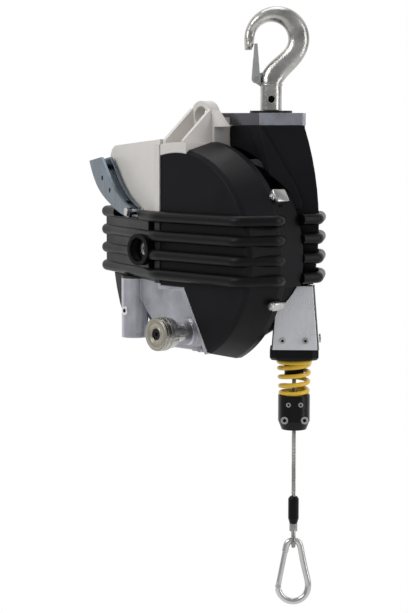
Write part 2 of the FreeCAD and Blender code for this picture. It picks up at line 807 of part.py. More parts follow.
def rim():
    """The band over the top of the cover, which carries the lug's gussets."""
    band = tube(RIM_TOP_R, COVER_FACE_R, FACE_Y, FLANGE_FRONT + 1, "y")
    zone = box(COVER_EDGE_X - 5, RIM_END_X, FACE_Y - 1, FLANGE_FRONT + 2, 60, 150)
    return band.common(zone)


def bead():
    """The raised bead that frames the cover's upright edge."""
    return box(COVER_EDGE_X - BEAD_W, COVER_EDGE_X, FACE_Y - BEAD_H, FACE_Y + 6, -34, 126)


def lug_plate():
    r = LUG_R
    around = []
    for i in range(9):
        a = math.radians(155 - 135 * i / 8)
        around.append((LUG_X + r * math.cos(a), LUG_Z + r * math.sin(a)))
    outline = [(LUG_X - 24, 118)] + around + [(LUG_END_X + 12, 146), (LUG_END_X, 146), (LUG_END_X, 118)]
    plate = side_prism(outline, LUG_FRONT, LUG_BACK)
    foot = box(LUG_X - 24, LUG_END_X, LUG_FRONT, -BEAM_HALF_W - SEAT, 118, BEAM_TOP - 5)
    return plate.fuse(foot.cut(cyl(LUG_BORE_R + 4, LUG_BACK, 0, "y", (LUG_X, LUG_Z))))


def gussets():
    ribs = []
    for x in (LUG_X - GUSSET_SPAN / 2, LUG_X + GUSSET_SPAN / 2):
        outline = [V(x, FACE_Y + 3, 124), V(x, FACE_Y + 3, 131), V(x, LUG_FRONT, LUG_Z + 8), V(x, LUG_FRONT, 124)]
        ribs.append(prism(outline, V(GUSSET_T, 0, 0)).translated(V(-GUSSET_T / 2, 0, 0)))
    return ribs


def tube_socket():
    spot = (SOCKET_X, SOCKET_Y)
    return cyl(SOCKET_R, SOCKET_BOTTOM, SOCKET_TOP, "z", spot)


def tail_cover():
    """The black tail below the hood's far end."""
    outline = [(104, -32.1 - SEAT), (140, -31.3 - SEAT), (133, -50), (123, -68), (112, -81), (104, -86)]
    shell = prism([hood_point(s, z) for s, z in outline], hood_out() * -28)
    return shell.cut(cyl(FLANGE_R + SEAT, -100, 60, "y"))


def spring_casting():
    flange = tube(FLANGE_R, TRAIN_R, FLANGE_FRONT, FLANGE_FRONT + FLANGE_T, "y")
    socket_arm = box(SOCKET_X - 4, SOCKET_X + 22, SOCKET_Y - 3, FLANGE_FRONT + 1, -60, SOCKET_TOP)
    boss = cyl(ADJUST_HEAD_R + 2, ADJUST_FACE + 1, GEAR_FRONT - 1.5, "y", (ADJUST_X, ADJUST_Z))
    lock_boss = cyl(LOCK_BOSS_R, WEB_Y - LOCK_BOSS_L, WEB_Y + WEB_T, "y", (LOCK_X, LOCK_Z))
    low_flange = box(-12, TAB_END_X, FLANGE_FRONT - 6, FLANGE_FRONT + 1, CAST_LOW, TAB_TOP)
    tab_floor = box(NOTCH_LOW[0] - 6, TAB_END_X, FACE_Y + 7, FLANGE_FRONT + 1, TAB_TOP - TAB_T, TAB_TOP)
    parts = [flange, hood(), corner_wall(), notch_wall(), low_web(), rim(), lug_plate(), tube_socket(), bead()]
    parts += [socket_arm, boss, lock_boss, low_flange, tab_floor] + gussets()
    body = parts[0].multiFuse(parts[1:])
    body = body.cut(cyl(TRAIN_R, WEB_Y + WEB_T, FLANGE_FRONT + 60, "y"))
    body = body.cut(cyl(gear_radius(WHEEL_TEETH) + 4, GEAR_FRONT - 8, FLANGE_FRONT, "y"))
    spot = (ADJUST_X, ADJUST_Z)
    body = body.cut(cyl(gear_radius(PINION_TEETH) + 4, GEAR_FRONT - 1, FLANGE_FRONT, "y", spot))
    body = body.cut(cyl(HOUSE_R + SEAT, housing_front() - SEAT, 60, "y"))
    body = body.cut(cyl(LUG_BORE_R, LUG_FRONT - 60, 0, "y", (LUG_X, LUG_Z)))
    body = body.cut(cyl(SOCKET_R - SOCKET_WALL, SOCKET_BOTTOM - 1, SOCKET_TOP - 6, "z", (SOCKET_X, SOCKET_Y)))
    spot = (ADJUST_X, ADJUST_Z)
    body = body.cut(cyl(ADJUST_STEM_R + FIT, FACE_Y - 5, GEAR_FRONT + GEAR_W + 2, "y", spot))
    body = body.cut(cyl(ADJUST_HEAD_R + SEAT, FACE_Y - 10, ADJUST_FACE + 5.3, "y", spot))
    spot = (LOCK_X, LOCK_Z)
    body = body.cut(cyl(LOCK_PIN_R + FIT, FACE_Y, BARREL_FRONT, "y", spot))
    body = body.cut(along_hood_normal(LEVER_PIN_R, -CAST_WALL - 20, 1, LEVER_S, LEVER_Z))
    body = body.cut(cyl(SCREW_R, LUG_BACK - 8, 0, "y", FRAME_BOLT))
    for x, z in RIM_BOLTS:
        body = body.cut(cyl(SCREW_R, FLANGE_FRONT - 7, FLANGE_FRONT + FLANGE_T + 1, "y", (x, z)))
    body = body.cut(box(-200, 200, -200, 60, -200, CAST_LOW))
    return biggest(body)


def biggest(shape):
    solids = sorted(shape.Solids, key=lambda s: s.Volume)
    return solids[-1]


def along_hood_normal(r, out0, out1, s, z):
    base = hood_point(s, z, out0)
    return Part.makeCylinder(r, out1 - out0, base, hood_out())


def dome_cover():
    c = COVER_WALL
    face = FACE_Y
    edge = COVER_EDGE_R
    back = FLANGE_FRONT - SEAT
    end = FLANGE_FRONT + FLANGE_T
    over = FLANGE_R + SEAT
    outer = [
        (0.0, face), (COVER_FACE_R, face), (edge, face + 4), (COVER_BACK_R, back), (COVER_BACK_R, end), (over, end),
        (over, back), (COVER_BACK_R - c, back), (edge - c, face + 6), (COVER_FACE_R - c, face + c), (0.0, face + c),
    ]
    cover = revolve_y(outer)
    cover = cover.cut(cover_cut(SEAT, end + 1))
    lip = box(COVER_EDGE_X - 10, RIM_END_X + SEAT, face - 1, 0, 20, 200)
    cover = cover.cut(lip.cut(cyl(COVER_FACE_R - SEAT, face - 2, 1, "y")))
    cover = cover.cut(box(-60, TAB_END_X + SEAT, face - 5, 0, -200, TAB_TOP + SEAT))
    return biggest(cover)


def rim_bolts():
    bolts = []
    for x, z in RIM_BOLTS:
        front = FLANGE_FRONT - 6
        stem = cyl(SCREW_R - FIT, front, FLANGE_FRONT + FLANGE_T, "y", (x, z))
        bolts.append(join(stem, hexagon(SCREW_R * 2.5, front - 3.5, front, (x, z), "y")))
    return Part.makeCompound(bolts)


def frame_bolt():
    """A stud that ties the lug to the beam and doesn't show."""
    return cyl(SCREW_R - FIT, LUG_BACK - 8 + SEAT, -BEAM_HALF_W + 12, "y", FRAME_BOLT)


# Locking plunger

def plunger():
    spot = (LOCK_X, LOCK_Z)
    front = WEB_Y - LOCK_BOSS_L
    pin = cyl(LOCK_PIN_R, front - 30, BARREL_FRONT - BARREL_COVER_T - 1.5, "y", spot)
    neck = cyl(LOCK_NECK_R, front - 22, front - LOCK_STROKE - 1, "y", spot)
    step = cyl(LOCK_KNOB_R - 1.5, front - 30, front - 22, "y", spot)
    knob = cyl(LOCK_KNOB_R, front - 43, front - 30, "y", spot)
    body = join(pin, neck, step, knob)
    return body.cut(cyl(7.0, front - 44, front - 38, "y", spot))


def plunger_screw():
    spot = (LOCK_X, LOCK_Z)
    front = WEB_Y - LOCK_BOSS_L - 38
    screw = cyl(6.0, front - 4, front, "y", spot)
    return screw.cut(hexagon(5.0, front - 5, front - 1.5, spot, "y"))


# Lock lever

def lever_outline():
    """Both edges of the blade as points on the hood's face, from its pin to its free end."""
    lower = [(50, 41), (72, 43.5), (109, 54.5), (146, 72), (164, 89), (174, 104)]
    upper = [(47, 52), (74, 61.5), (100, 77), (122, 97), (136, 109)]
    return upper, lower


def blade(out):
    upper, lower = lever_outline()
    edges = []
    for side in (upper, list(reversed(lower))):
        curve = Part.BSplineCurve()
        curve.interpolate([hood_point(s, z, out) for s, z in side])
        edges.append(curve.toShape())
    tip = line(hood_point(*upper[-1], out), hood_point(*lower[-1], out))
    foot = line(hood_point(*lower[0], out), hood_point(*upper[0], out))
    face = Part.Face(Part.Wire([edges[0], tip, edges[1], foot]))
    plate = face.extrude(hood_out() * BLADE_T)
    heel = Part.makeCylinder(LEVER_HEEL_R, BLADE_T, hood_point(LEVER_S, LEVER_Z, out), hood_out())
    plate = plate.fuse(heel)
    return plate.cut(along_hood_normal(LEVER_PIN_R + FIT, out - 1, out + BLADE_T + 1, LEVER_S, LEVER_Z))


def lever_blades():
    far = BLADE_NEAR + BLADE_T + BLADE_GAP
    parts = [blade(BLADE_NEAR), blade(far)]
    for s, z in ((84, 57), (150, 97)):
        parts.append(along_hood_normal(4.0, BLADE_NEAR + 1, far + 1, s, z))
    body = parts[0].multiFuse(parts[1:])
    slot = [along_hood_normal(3.0, far - 1, far + BLADE_T + 1, s, z) for s, z in ((108, 70), (132, 84))]
    return body.cut(Part.makeCompound(slot))


def lever_pin():
    far = BLADE_NEAR + 2 * BLADE_T + BLADE_GAP
    pin = along_hood_normal(LEVER_PIN_R, -CAST_WALL + 0.2, far + 2.5, LEVER_S, LEVER_Z)
    spacer = along_hood_normal(LEVER_PIN_R + 2, 0.0, BLADE_NEAR - SEAT, LEVER_S, LEVER_Z)
    head = along_hood_normal(LEVER_PIN_R + 1.5, far + SEAT, far + 2.5, LEVER_S, LEVER_Z)
    return join(pin, spacer, head)


# Rubber rings

def ring_corners():
    """Corners of the rings' centre line in plan, each with its bend radius."""
    off = RING_HALF_D + SEAT
    left = hood_point(158, 0, off)
    start = hood_point(0, 0, off)
    behind = left - hood_out() * (HOOD_DEPTH + 14)
    rear = REAR_Y + REAR_WALL + SEAT + off
    return [
        (start.x, start.y, 60.0),
        (COVER_FACE_R - 7, FACE_Y - off, 16.0),
        (COVER_BACK_R + 1, FLANGE_FRONT - 4, 12.0),
        (HOUSE_R + 8, STRAP_FRONT + 3, 12.0),
        (NOSE_TIP_X + 2, -3.0, 8.0),
        (NOSE_TIP_X - 32, NOSE_HALF_W + 0.5, 14.0),
        (NOSE_TIP_X - 64, rear, 14.0),
        (-118.0, rear, 24.0),
        (behind.x - 6, behind.y, 30.0),
        (left.x, left.y, 14.0),
    ]


def rounded_loop(corners, z):
    """A closed wire of straight runs joined by tangent arcs."""
    pieces = []
    count = len(corners)
    spots = [V(x, y, z) for x, y, r in corners]
    joints = []
    for i in range(count):
        here = spots[i]
        to_prev = (spots[i - 1] - here).normalize()
        to_next = (spots[(i + 1) % count] - here).normalize()
        half = to_prev.getAngle(to_next) / 2
        reach = corners[i][2] / math.tan(half)
        bisector = (to_prev + to_next).normalize()
        centre = here + bisector * (corners[i][2] / math.sin(half))
        joints.append((here + to_prev * reach, centre - bisector * corners[i][2], here + to_next * reach))
    for i, (enter, mid, leave) in enumerate(joints):
        pieces.append(arc(enter, mid, leave))
        pieces.append(line(leave, joints[(i + 1) % count][0]))
    return Part.Wire(pieces)


def bumper_ring(z):
    path = rounded_loop(ring_corners(), z)
    start = path.Edges[1]
    base = start.valueAt(start.FirstParameter)
    way = start.tangentAt(start.FirstParameter)
    side = V(way.y, -way.x, 0)
    pole = V(0, 0, 1)
    section = Part.Ellipse(base + pole * RING_HALF_H, base + side * RING_HALF_D, base)
    loop = Part.Wire(path.Edges[1:] + path.Edges[:1])
    return loop.makePipeShell([Part.Wire([section.toShape()])], True, False)


def adjust_collar(grow):
    spot = (ADJUST_X, ADJUST_Z)
    return cyl(ADJUST_HEAD_R + 2.5 + grow, FACE_Y - 12, FACE_Y + 24, "y", spot)


def ring_block():
    """The solid rubber that joins the rings beside the adjuster."""
    outline = [(14, RING_Z[3] - 4), (144, RING_Z[3] - 4), (144, RING_Z[0] - 2), (14, RING_Z[0] - 2)]
    block = prism([hood_point(s, z, SEAT) for s, z in outline], hood_out() * RING_BLOCK_D)
    return block.fuse(adjust_collar(4.5))


def bumper():
    """The four rings and their block as one moulding."""
    rings = [bumper_ring(z) for z in RING_Z]
    body = ring_block().multiFuse(rings)
    relief = [(LEVER_S - 16, RELIEF_Z), (112, RELIEF_Z), (112, 80), (LEVER_S - 16, 80)]
    body = body.cut(prism([hood_point(s, z, -10) for s, z in relief], hood_out() * 60))
    body = body.cut(adjust_collar(0.0))
    return biggest(body.cut(ring_envelope()))


def ring_envelope():
    """Everything that the rings lie against, grown by the seat."""
    cone = [
        (0.0, FACE_Y - SEAT), (COVER_FACE_R, FACE_Y - SEAT), (COVER_EDGE_R + SEAT, FACE_Y + 4),
        (COVER_BACK_R + SEAT, FLANGE_FRONT), (COVER_BACK_R + SEAT, FLANGE_FRONT + FLANGE_T + SEAT),
        (0.0, FLANGE_FRONT + FLANGE_T + SEAT),
    ]
    dome = revolve_y(cone).cut(box(-200, COVER_EDGE_X - 1, -200, 0, -200, 200))
    drum = cyl(HOUSE_R + SEAT, FLANGE_FRONT - 1, HOUSE_BACK, "y")
    wall = box(-61, 61, REAR_Y - 1, REAR_Y + REAR_WALL + SEAT, -70, 60)
    flange = cyl(FLANGE_R + SEAT, FLANGE_FRONT - 2, FLANGE_FRONT + FLANGE_T + SEAT, "y")
    strap = box(HOUSE_R - 10, STRAP_R + 30, STRAP_FRONT - SEAT, STRAP_BACK + SEAT, -60, 60)
    edge = box(COVER_EDGE_X - BEAD_W - SEAT, COVER_EDGE_X + SEAT, FACE_Y - BEAD_H - SEAT, FACE_Y + 10, -60, 60)
    prow = plan_prism(nose_plan(NOSE_HALF_W + SEAT, NOSE_TIP_X + SEAT, 20), -40, 60)
    outline = [(-8, -60), (150 + SEAT, -60), (150 + SEAT, 60), (-8, 60)]
    block = prism([hood_point(s, z, SEAT) for s, z in outline], hood_out() * -(HOOD_DEPTH + SEAT))
    return Part.makeCompound([dome, drum, wall, flange, strap, edge, prow, block])


# Rope guide

def guide_loft(top_half, half, z0, z1):
    """A square tube form turned 45 degrees, given by half its diagonal at both ends."""
    wires = []
    for z, h in ((z0, half), (z1, top_half)):
        ring = [V(ROPE_X + h, 0, z), V(ROPE_X, h, z), V(ROPE_X - h, 0, z), V(ROPE_X, -h, z)]
        wires.append(Part.makePolygon(ring + ring[:1]))
    return Part.makeLoft(wires, True, True)


def guide_frame():
    thick = GUIDE_WALL * math.sqrt(2)
    low = BLOCK_TOP
    outer = guide_loft(GUIDE_TOP_HALF, GUIDE_HALF, low, GUIDE_TOP)
    inner = guide_loft(GUIDE_TOP_HALF - thick, GUIDE_HALF - thick, low - 1, GUIDE_TOP + 1)
    body = outer.cut(inner).cut(cyl(HOUSE_R + SEAT, -60, 60, "y"))
    return biggest(body.cut(strap_ring(SEAT)))


def guide_plate(side):
    """A bright plate on one front flank; side is -1 for the spring side."""
    thick = GUIDE_PLATE_T * math.sqrt(2)
    outer = guide_loft(GUIDE_TOP_HALF + thick, GUIDE_HALF + thick, BLOCK_TOP + 0.5, GUIDE_TOP)
    inner = guide_loft(GUIDE_TOP_HALF + SEAT / 2, GUIDE_HALF + SEAT / 2, BLOCK_TOP - 1, GUIDE_TOP + 1)
    shell = outer.cut(inner).cut(cyl(HOUSE_R + 1, -60, 60, "y")).cut(strap_ring(0.5))
    span = sorted((side * 1.5, side * 60.0))
    plate = shell.common(box(ROPE_X + 2.5, ROPE_X + 60, span[0], span[1], -150, 0))
    return biggest(plate)


def guide_screws():
    screws = []
    for side in (-1, 1):
        for near in (8.5, 27.0):
            reach = GUIDE_HALF - 1 - near
            base = V(ROPE_X + near + 2, side * (reach + 2), BLOCK_TOP + 11)
            way = V(1, side, 0).normalize()
            screws.append(Part.makeCylinder(3.6, 2.2, base, way))
    return Part.makeCompound(screws)


def block_plan(half):
    c = 5.0
    return [
        (ROPE_X + half - c, -c), (ROPE_X + half - c, c), (ROPE_X + c, half - c), (ROPE_X - c, half - c),
        (ROPE_X - half + c, c), (ROPE_X - half + c, -c), (ROPE_X - c, -half + c), (ROPE_X + c, -half + c),
    ]


def guide_block():
    z1 = BLOCK_TOP - SEAT
    z0 = z1 - BLOCK_T
    wires = []
    for z, half in ((z0, BLOCK_HALF - 3.0), (z0 + 3.0, BLOCK_HALF)):
        ring = [V(x, y, z) for x, y in block_plan(half)]
        wires.append(Part.makePolygon(ring + ring[:1]))
    foot = Part.makeLoft(wires, True, True)
    body = foot.fuse(plan_prism(block_plan(BLOCK_HALF), z0 + 3.0, z1)).removeSplitter()
    body = body.cut(cyl(HOUSE_R + SEAT, -60, 60, "y")).cut(strap_ring(SEAT))
    return biggest(body.cut(cyl(BUSH_R, z0 - 1, z1 + 1, "z", (ROPE_X, 0))))


def guide_bush():
    z1 = BLOCK_TOP - SEAT
    z0 = z1 - BLOCK_T
    bush = cyl(BUSH_R, z0 + 1, z1, "z", (ROPE_X, 0)).fuse(cyl(BUSH_R + 3, z1, z1 + 3, "z", (ROPE_X, 0)))
    bore = cyl(BUSH_BORE_R, z0 - 5, z1 + 5, "z", (ROPE_X, 0))
    mouth = Part.makeCone(BUSH_BORE_R + 4, BUSH_BORE_R, 5, V(ROPE_X, 0, z0 + 1), V(0, 0, 1))
    return bush.removeSplitter().cut(bore).cut(mouth)


# Rope end, drawn about the rope's own axis and turned to face as in use

def at_rope(shape):
    return turned_z(shape.translated(V(ROPE_X, 0, 0)), HOOK_YAW, ROPE_X, 0.0)


def clamp_bottom():
    return CLAMP_TOP - CLAMP_H


def clamp_half(side):
    """One half of the rope clamp; side is -1 for the half that faces the viewer."""
    low = clamp_bottom()
    body = cyl(CLAMP_R, low + 10, CLAMP_TOP).fuse(Part.makeCone(CLAMP_R - 4, CLAMP_R, 10, V(0, 0, low)))
    body = body.removeSplitter().cut(cyl(ROPE_R, low - 1, CLAMP_TOP + 1))
    span = sorted((side * CLAMP_SPLIT / 2, side * (CLAMP_R + 5)))
    body = body.common(box(-CLAMP_R - 5, CLAMP_R + 5, span[0], span[1], low - 1, CLAMP_TOP + 1))
    for u, z, r in CLAMP_SCREWS:
        body = body.cut(cyl(r, -CLAMP_R - 5, CLAMP_R + 5, "y", (u, z)))
        spot = sorted((side * (CLAMP_R - 6), side * (CLAMP_R + 5)))
        body = body.cut(cyl(r * 1.8 + SEAT, spot[0], spot[1], "y", (u, z)))
    return body


def clamp_screws():
    screws = []
    for u, z, r in CLAMP_SCREWS:
        stem = cyl(r - FIT, -CLAMP_R + 4, CLAMP_R - 4, "y", (u, z))
        head = cyl(r * 1.8, -CLAMP_R + 3, -CLAMP_R + 6, "y", (u, z))
        nut = hexagon(r * 3.0, CLAMP_R - 6, CLAMP_R - 3, (u, z), "y")
        screws.append(join(stem, head, nut))
    return Part.makeCompound(screws)


def buffer_spring():
    top = BLOCK_TOP - BLOCK_T - 1.2 - BUFFER_WIRE_R
    low = CLAMP_TOP + BUFFER_WIRE_R + 0.1
    steps = int(BUFFER_TURNS * 16)
    flat = 0.75
    points = []
    for i in range(steps + 1):
        turn = BUFFER_TURNS * i / steps
        rise = min(1.0, max(0.0, (turn - flat) / (BUFFER_TURNS - 2 * flat)))
        r = BUFFER_LOW_R + (BUFFER_TOP_R - BUFFER_LOW_R) * turn / BUFFER_TURNS
        a = 2 * math.pi * turn
        points.append(V(r * math.cos(a), r * math.sin(a), low + (top - low) * rise))
    curve = Part.BSplineCurve()
    curve.interpolate(points)
    path = Part.Wire([curve.toShape()])
    ring = disc_wire(BUFFER_WIRE_R, points[0], curve.tangent(curve.FirstParameter)[0])
    return path.makePipeShell([ring], True, True)


def rope_run():
    """The rope between the drum and the clamp; it grows when the rope is drawn out."""
    return cyl(ROPE_R, CLAMP_TOP + SEAT, -0.2, "z")


def rope_drop():
    return cyl(ROPE_R, SLEEVE_TOP - SLEEVE_H + 1, CLAMP_TOP, "z")


def rope_sleeve():
    low = SLEEVE_TOP - SLEEVE_H
    body = cyl(SLEEVE_R, low + 6, SLEEVE_TOP - 3)
    body = body.fuse(Part.makeCone(SLEEVE_R - 1.8, SLEEVE_R, 6, V(0, 0, low)))
    body = body.fuse(Part.makeCone(SLEEVE_R, SLEEVE_R - 2, 3, V(0, 0, SLEEVE_TOP - 3)))
    return body.removeSplitter().cut(cyl(ROPE_R, low - 1, SLEEVE_TOP + 1))


def eye_radius():
    return BAR_R + SEAT + ROPE_R


def rope_eye():
    """The ferrule and the loop of rope that the snap hook hangs in."""
    top = SLEEVE_TOP - SLEEVE_H
    neck = top - FERRULE_H
    r = eye_radius()
    ferrule = cyl(ROPE_R + 2.2, neck, top)
    legs = []
    ends = []
    for side in (-1, 1):
        low = V(0, side * r, EYE_BAR_Z)
        high = V(0, side * ROPE_R * 0.9, neck + 2)
        ends.append(low)
        legs.append(line(low, high))
    bottom = arc(ends[0], V(0, 0, EYE_BAR_Z - r), ends[1])
    loop = Part.Wire([legs[0].reversed(), bottom, legs[1]])
    start = V(0, -ROPE_R * 0.9, neck + 2)
    way = (ends[0] - start).normalize()
    rope = loop.makePipeShell([disc_wire(ROPE_R - 0.1, start, way)], True, False, 1)
    return ferrule.fuse(rope).removeSplitter()


# Snap hook: a pear of round bar in its own plane, with a gate on its left limb

def snap_corners():
    top = EYE_BAR_Z
    low = top - SNAP_H + 2 * BAR_R
    wide = SNAP_HALF_W - BAR_R
    slim = 8.5
    return top, low, wide, slim


def snap_points():
    """The bar's centre line from above the gate, over the top, down and round to below it."""
    top, low, wide, slim = snap_corners()
    big = wide
    points = [(-slim - 1.0, top - 13), (-slim, top - 8), (-slim * 0.75, top - 2.5), (0, top)]
    points += [(slim * 0.75, top - 2.5), (slim, top - 8), (slim + 1.5, top - 16)]
    points += [(big * 0.86, low + big + 16), (big, low + big - 1)]
    for degrees in (-30, -60, -90, -120, -150):
        a = math.radians(degrees)
        points.append((big * math.cos(a), low + big + big * math.sin(a)))
    points.append((-big, low + big + 1))
    return points


def snap_frame():
    spots = [V(u, 0, z) for u, z in snap_points()]
    curve = Part.BSplineCurve()
    curve.interpolate(spots)
    path = Part.Wire([curve.toShape()])
    bar = path.makePipeShell([disc_wire(BAR_R, spots[0], curve.tangent(curve.FirstParameter)[0])], True, False)
    gate_top, gate_low = gate_ends()
    bar = bar.cut(gate_slot(gate_low, 9.0, 2.2 + SEAT))
    return bar.cut(cyl(1.5 + FIT, -20, 20, "y", (gate_low.x, gate_low.z)))


def gate_ends():
    points = snap_points()
    return V(points[0][0], 0, points[0][1]), V(points[-1][0], 0, points[-1][1])


def gate_slot(at, length, half):
    return box(at.x - 10, at.x + 10, -half, half, at.z - 4.5, at.z + length)


def snap_gate():
    top, low = gate_ends()
    way = (top - low).normalize()
    start = low + way * 3.5
    span = (top - start).Length - 0.6
    rod = Part.makeCylinder(BAR_R - 0.7, span, start, way)
    tongue = cyl(3.4, -2.2, 2.2, "y", (low.x, low.z))
    link = prism([low + V(-3, -2.2, 0), low + V(3, -2.2, 0), start + way * 4 + V(3, -2.2, 0),
                  start + way * 4 + V(-3, -2.2, 0)], V(0, 4.4, 0))
    gate = rod.multiFuse([tongue, link])
    return gate.cut(cyl(1.5 + FIT, -20, 20, "y", (low.x, low.z)))


def gate_pin():
    top, low = gate_ends()
    return cyl(1.5, -BAR_R + 0.4, BAR_R - 0.4, "y", (low.x, low.z))


# Output

def turned_pieces():
    """Pieces drawn in the hook's or the rope end's own plane."""
    hook_side = {
        "hook": hook_body(),
        "hook_latch": hook_latch(),
        "latch_pin": latch_pin(),
        "hook_nut": hook_nut(),
        "nut_pin": nut_pin(),
    }
    rope_side = {
        "clamp_half_front": clamp_half(-1),
        "clamp_half_rear": clamp_half(1),
        "clamp_screws": clamp_screws(),
        "buffer_spring": buffer_spring(),
        "rope_run": rope_run(),
        "rope_drop": rope_drop(),
        "rope_sleeve": rope_sleeve(),
        "rope_eye": rope_eye(),
        "snap_frame": snap_frame(),
        "snap_gate": snap_gate(),
        "gate_pin": gate_pin(),
    }
    pieces = {name: in_hook_plane(shape) for name, shape in hook_side.items()}
    pieces.update({name: at_rope(shape) for name, shape in rope_side.items()})
    return pieces


def fixed_pieces():
    pieces = {
        "thrust_bearing": thrust_bearing().translated(V(HOOK_X, 0, 0)),
        "hook_washer": hook_washer(),
        "main_frame": main_frame(),
        "drum_shaft": drum_shaft(),
        "rope_drum": rope_drum(),
        "drum_bearings": bearings((-DRUM_HALF_W - 4, DRUM_BACK - 6)),
        "rope_coil": rope_coil(),
        "spring_barrel": spring_barrel(),
        "drum_bolts": drum_bolts(),
        "barrel_cover": barrel_cover(),
        "mainspring": mainspring(),
        "winding_hub": winding_hub(),
        "adjust_pinion": adjust_pinion(),
        "adjust_screw": adjust_screw(),
        "drum_housing": drum_housing(),
        "nose_left": nose_half(-1),
        "nose_right": nose_half(1),
        "joint_lugs": joint_lugs(),
        "joint_screws": joint_screws(),
        "spring_casting": spring_casting(),
        "dome_cover": dome_cover(),
        "rim_bolts": rim_bolts(),
        "tail_cover": tail_cover(),
        "frame_bolt": frame_bolt(),
        "plunger": plunger(),
        "plunger_screw": plunger_screw(),
        "lever_blades": lever_blades(),
        "lever_pin": lever_pin(),
        "guide_frame": guide_frame(),
        "guide_plate_left": guide_plate(-1),
        "guide_plate_right": guide_plate(1),
        "guide_screws": guide_screws(),
        "guide_block": guide_block(),
        "guide_bush": guide_bush(),
        "bumper": bumper(),
    }
    return pieces


def main():
    os.makedirs("parts", exist_ok=True)
    pieces = fixed_pieces()
    pieces.update(turned_pieces())
    for name, shape in pieces.items():
        placed = shape.translated(V(-HOOK_X, 0, -BOWL_Z))
        placed.exportStep("parts/{}.step".format(name))
        state = "ok" if placed.isValid() else "INVALID"
        print(name, len(placed.Solids), round(placed.Volume), state)


main()
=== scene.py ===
import json
import math

import bmesh
import bpy
from mathutils import Matrix, Vector


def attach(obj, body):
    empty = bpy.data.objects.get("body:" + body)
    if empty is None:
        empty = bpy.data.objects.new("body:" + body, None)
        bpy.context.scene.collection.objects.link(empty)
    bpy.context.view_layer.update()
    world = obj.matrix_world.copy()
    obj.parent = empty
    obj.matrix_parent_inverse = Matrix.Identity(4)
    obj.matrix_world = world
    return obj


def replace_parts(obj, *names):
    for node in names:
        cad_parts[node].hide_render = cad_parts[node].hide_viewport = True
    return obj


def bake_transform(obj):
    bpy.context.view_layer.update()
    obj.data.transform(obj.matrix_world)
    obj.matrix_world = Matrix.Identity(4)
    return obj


bl_info = {
    "name": "Tool balancer looks",
    "version": (1, 0, 0),
    "blender": (4, 5, 0),
    "location": "3D View > Sidebar > Balancer",
    "description": "Dresses the CAD model of a spring balancer with finishes, wire rope and small parts",
    "category": "Object",
}

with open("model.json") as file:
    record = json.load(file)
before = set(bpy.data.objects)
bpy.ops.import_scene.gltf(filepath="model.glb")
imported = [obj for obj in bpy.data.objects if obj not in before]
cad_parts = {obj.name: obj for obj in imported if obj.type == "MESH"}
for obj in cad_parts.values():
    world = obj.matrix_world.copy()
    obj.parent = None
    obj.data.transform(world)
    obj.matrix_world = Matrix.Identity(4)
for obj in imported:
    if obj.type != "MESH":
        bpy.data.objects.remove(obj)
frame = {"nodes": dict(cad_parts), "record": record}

# Lengths are in millimetres and places are measured from the drum's axis, as in the CAD source. row() moves
# them to the frame's origin, which is the bowl of the suspension hook.
HOOK_X = 45.5
BOWL_Z = 266.0
SWIVEL_TURN = math.radians(48.0)    # turn of the hook and of the rope's end at rest

# Shank of the hook
SHANK_HOLE_Z = 177.6
SHANK_HOLE_R = 3.95
# Length of the dark plug of painted shade in the middle of the cross hole
SHANK_HOLE_DEEP = 14.0
SHANK_COLLAR_Z = 194.0

# Casting
FOOT_LOW = -200.0
FOOT_TOP = -34.3                # the bare foot's top, under the rings
# Heights between which the casting gets painted shade, where it lies behind the rings
RINGS_LOW = -34.4
RINGS_TOP = 40.0

# Rope, clamp, sleeve and guide
ROPE_X = 85.5
ROPE_R = 2.5
STRAND_PITCH = 15.0
STRAND_SIDES = 7
STRAND_SWELL = 1.02             # strands are drawn a little thick, so that they touch
CORE_GAP = 0.85                 # from the strands' middles to the core, in radii of a strand
POINT_GAP = 1.0                 # distance between the points of the rope's line
ROPE_TOP = -40.0
ROPE_IN_GUIDE = -100.0
ROPE_BELOW_CLAMP = -255.0
ROPE_IN_CLAMP = 3.0
ROPE_SHORT_OF_SLEEVE_END = 2.0
CLAMP_TOP = -162.0
CLAMP_LOW = -202.0
CLAMP_SCREW_FACE = 15.38        # from the rope's line to just inside the faces of the screws' heads
# Pairs of clamp screws: half the distance between them, height, radius of a screw
CLAMP_SCREWS = ((7.0, -172.0, 1.6), (11.5, -190.0, 2.4))
CLAMP_SOCKET_SHARE = 0.95       # of its screw's radius
SLEEVE_LOW = -313.5
GUIDE_LOW = -119.3              # underside of the guide block
GUIDE_HALF = 37.0
GUIDE_SCREW_Z = -96.0
GUIDE_SCREW_PLACES = (8.5, 27.0)    # distances from the rope, across the object
GUIDE_SCREW_FACE = 2.18         # from a screw's foot to just inside the face of its head
GUIDE_SOCKET_R = 1.7
SOCKET_TALL = 0.12              # a socket is drawn as a thin dark disc of painted shade on its screw's head

# Buffer spring and the tube inside it
SPRING_TURNS = 5.0
SPRING_LOW_R = 15.0
SPRING_TOP_R = 18.2
SPRING_FLAT = 0.75              # turns at each end that lie flat
SPRING_STEPS = 24               # points on each turn
SPRING_SIDES = 14
SPRING_CLEAR = 0.1              # gap under the spring
SPRING_TOP_CLEAR = 1.2          # gap over the spring
TUBE_R = 11.2
TUBE_HOLE_R = 6.0
TUBE_LONG = 21.0
TUBE_SUNK = 0.5                 # the tube starts this far inside the guide block

# Joint feet of the housing: angle on the drum, inner and outer radius, front, back and height
JOINT_FEET = ((31.5, 125.4, 136.5, -61.5, -42.0, 16.0), (-22.5, 130.4, 138.0, -74.0, -57.0, 10.0))
FOOT_EDGE = 1.6
FOOT_SCREW_R = 4.3
FOOT_SCREW_TALL = 3.4
FOOT_SCREW_EDGE = 0.7
FOOT_SCREW_SUNK = 0.4           # the head starts this far inside the foot
FOOT_HEXAGON_R = 2.2
FOOT_HEXAGON_TALL = 2.0
FOOT_HEXAGON_OUT = 1.9          # the hexagon starts this far in front of the foot

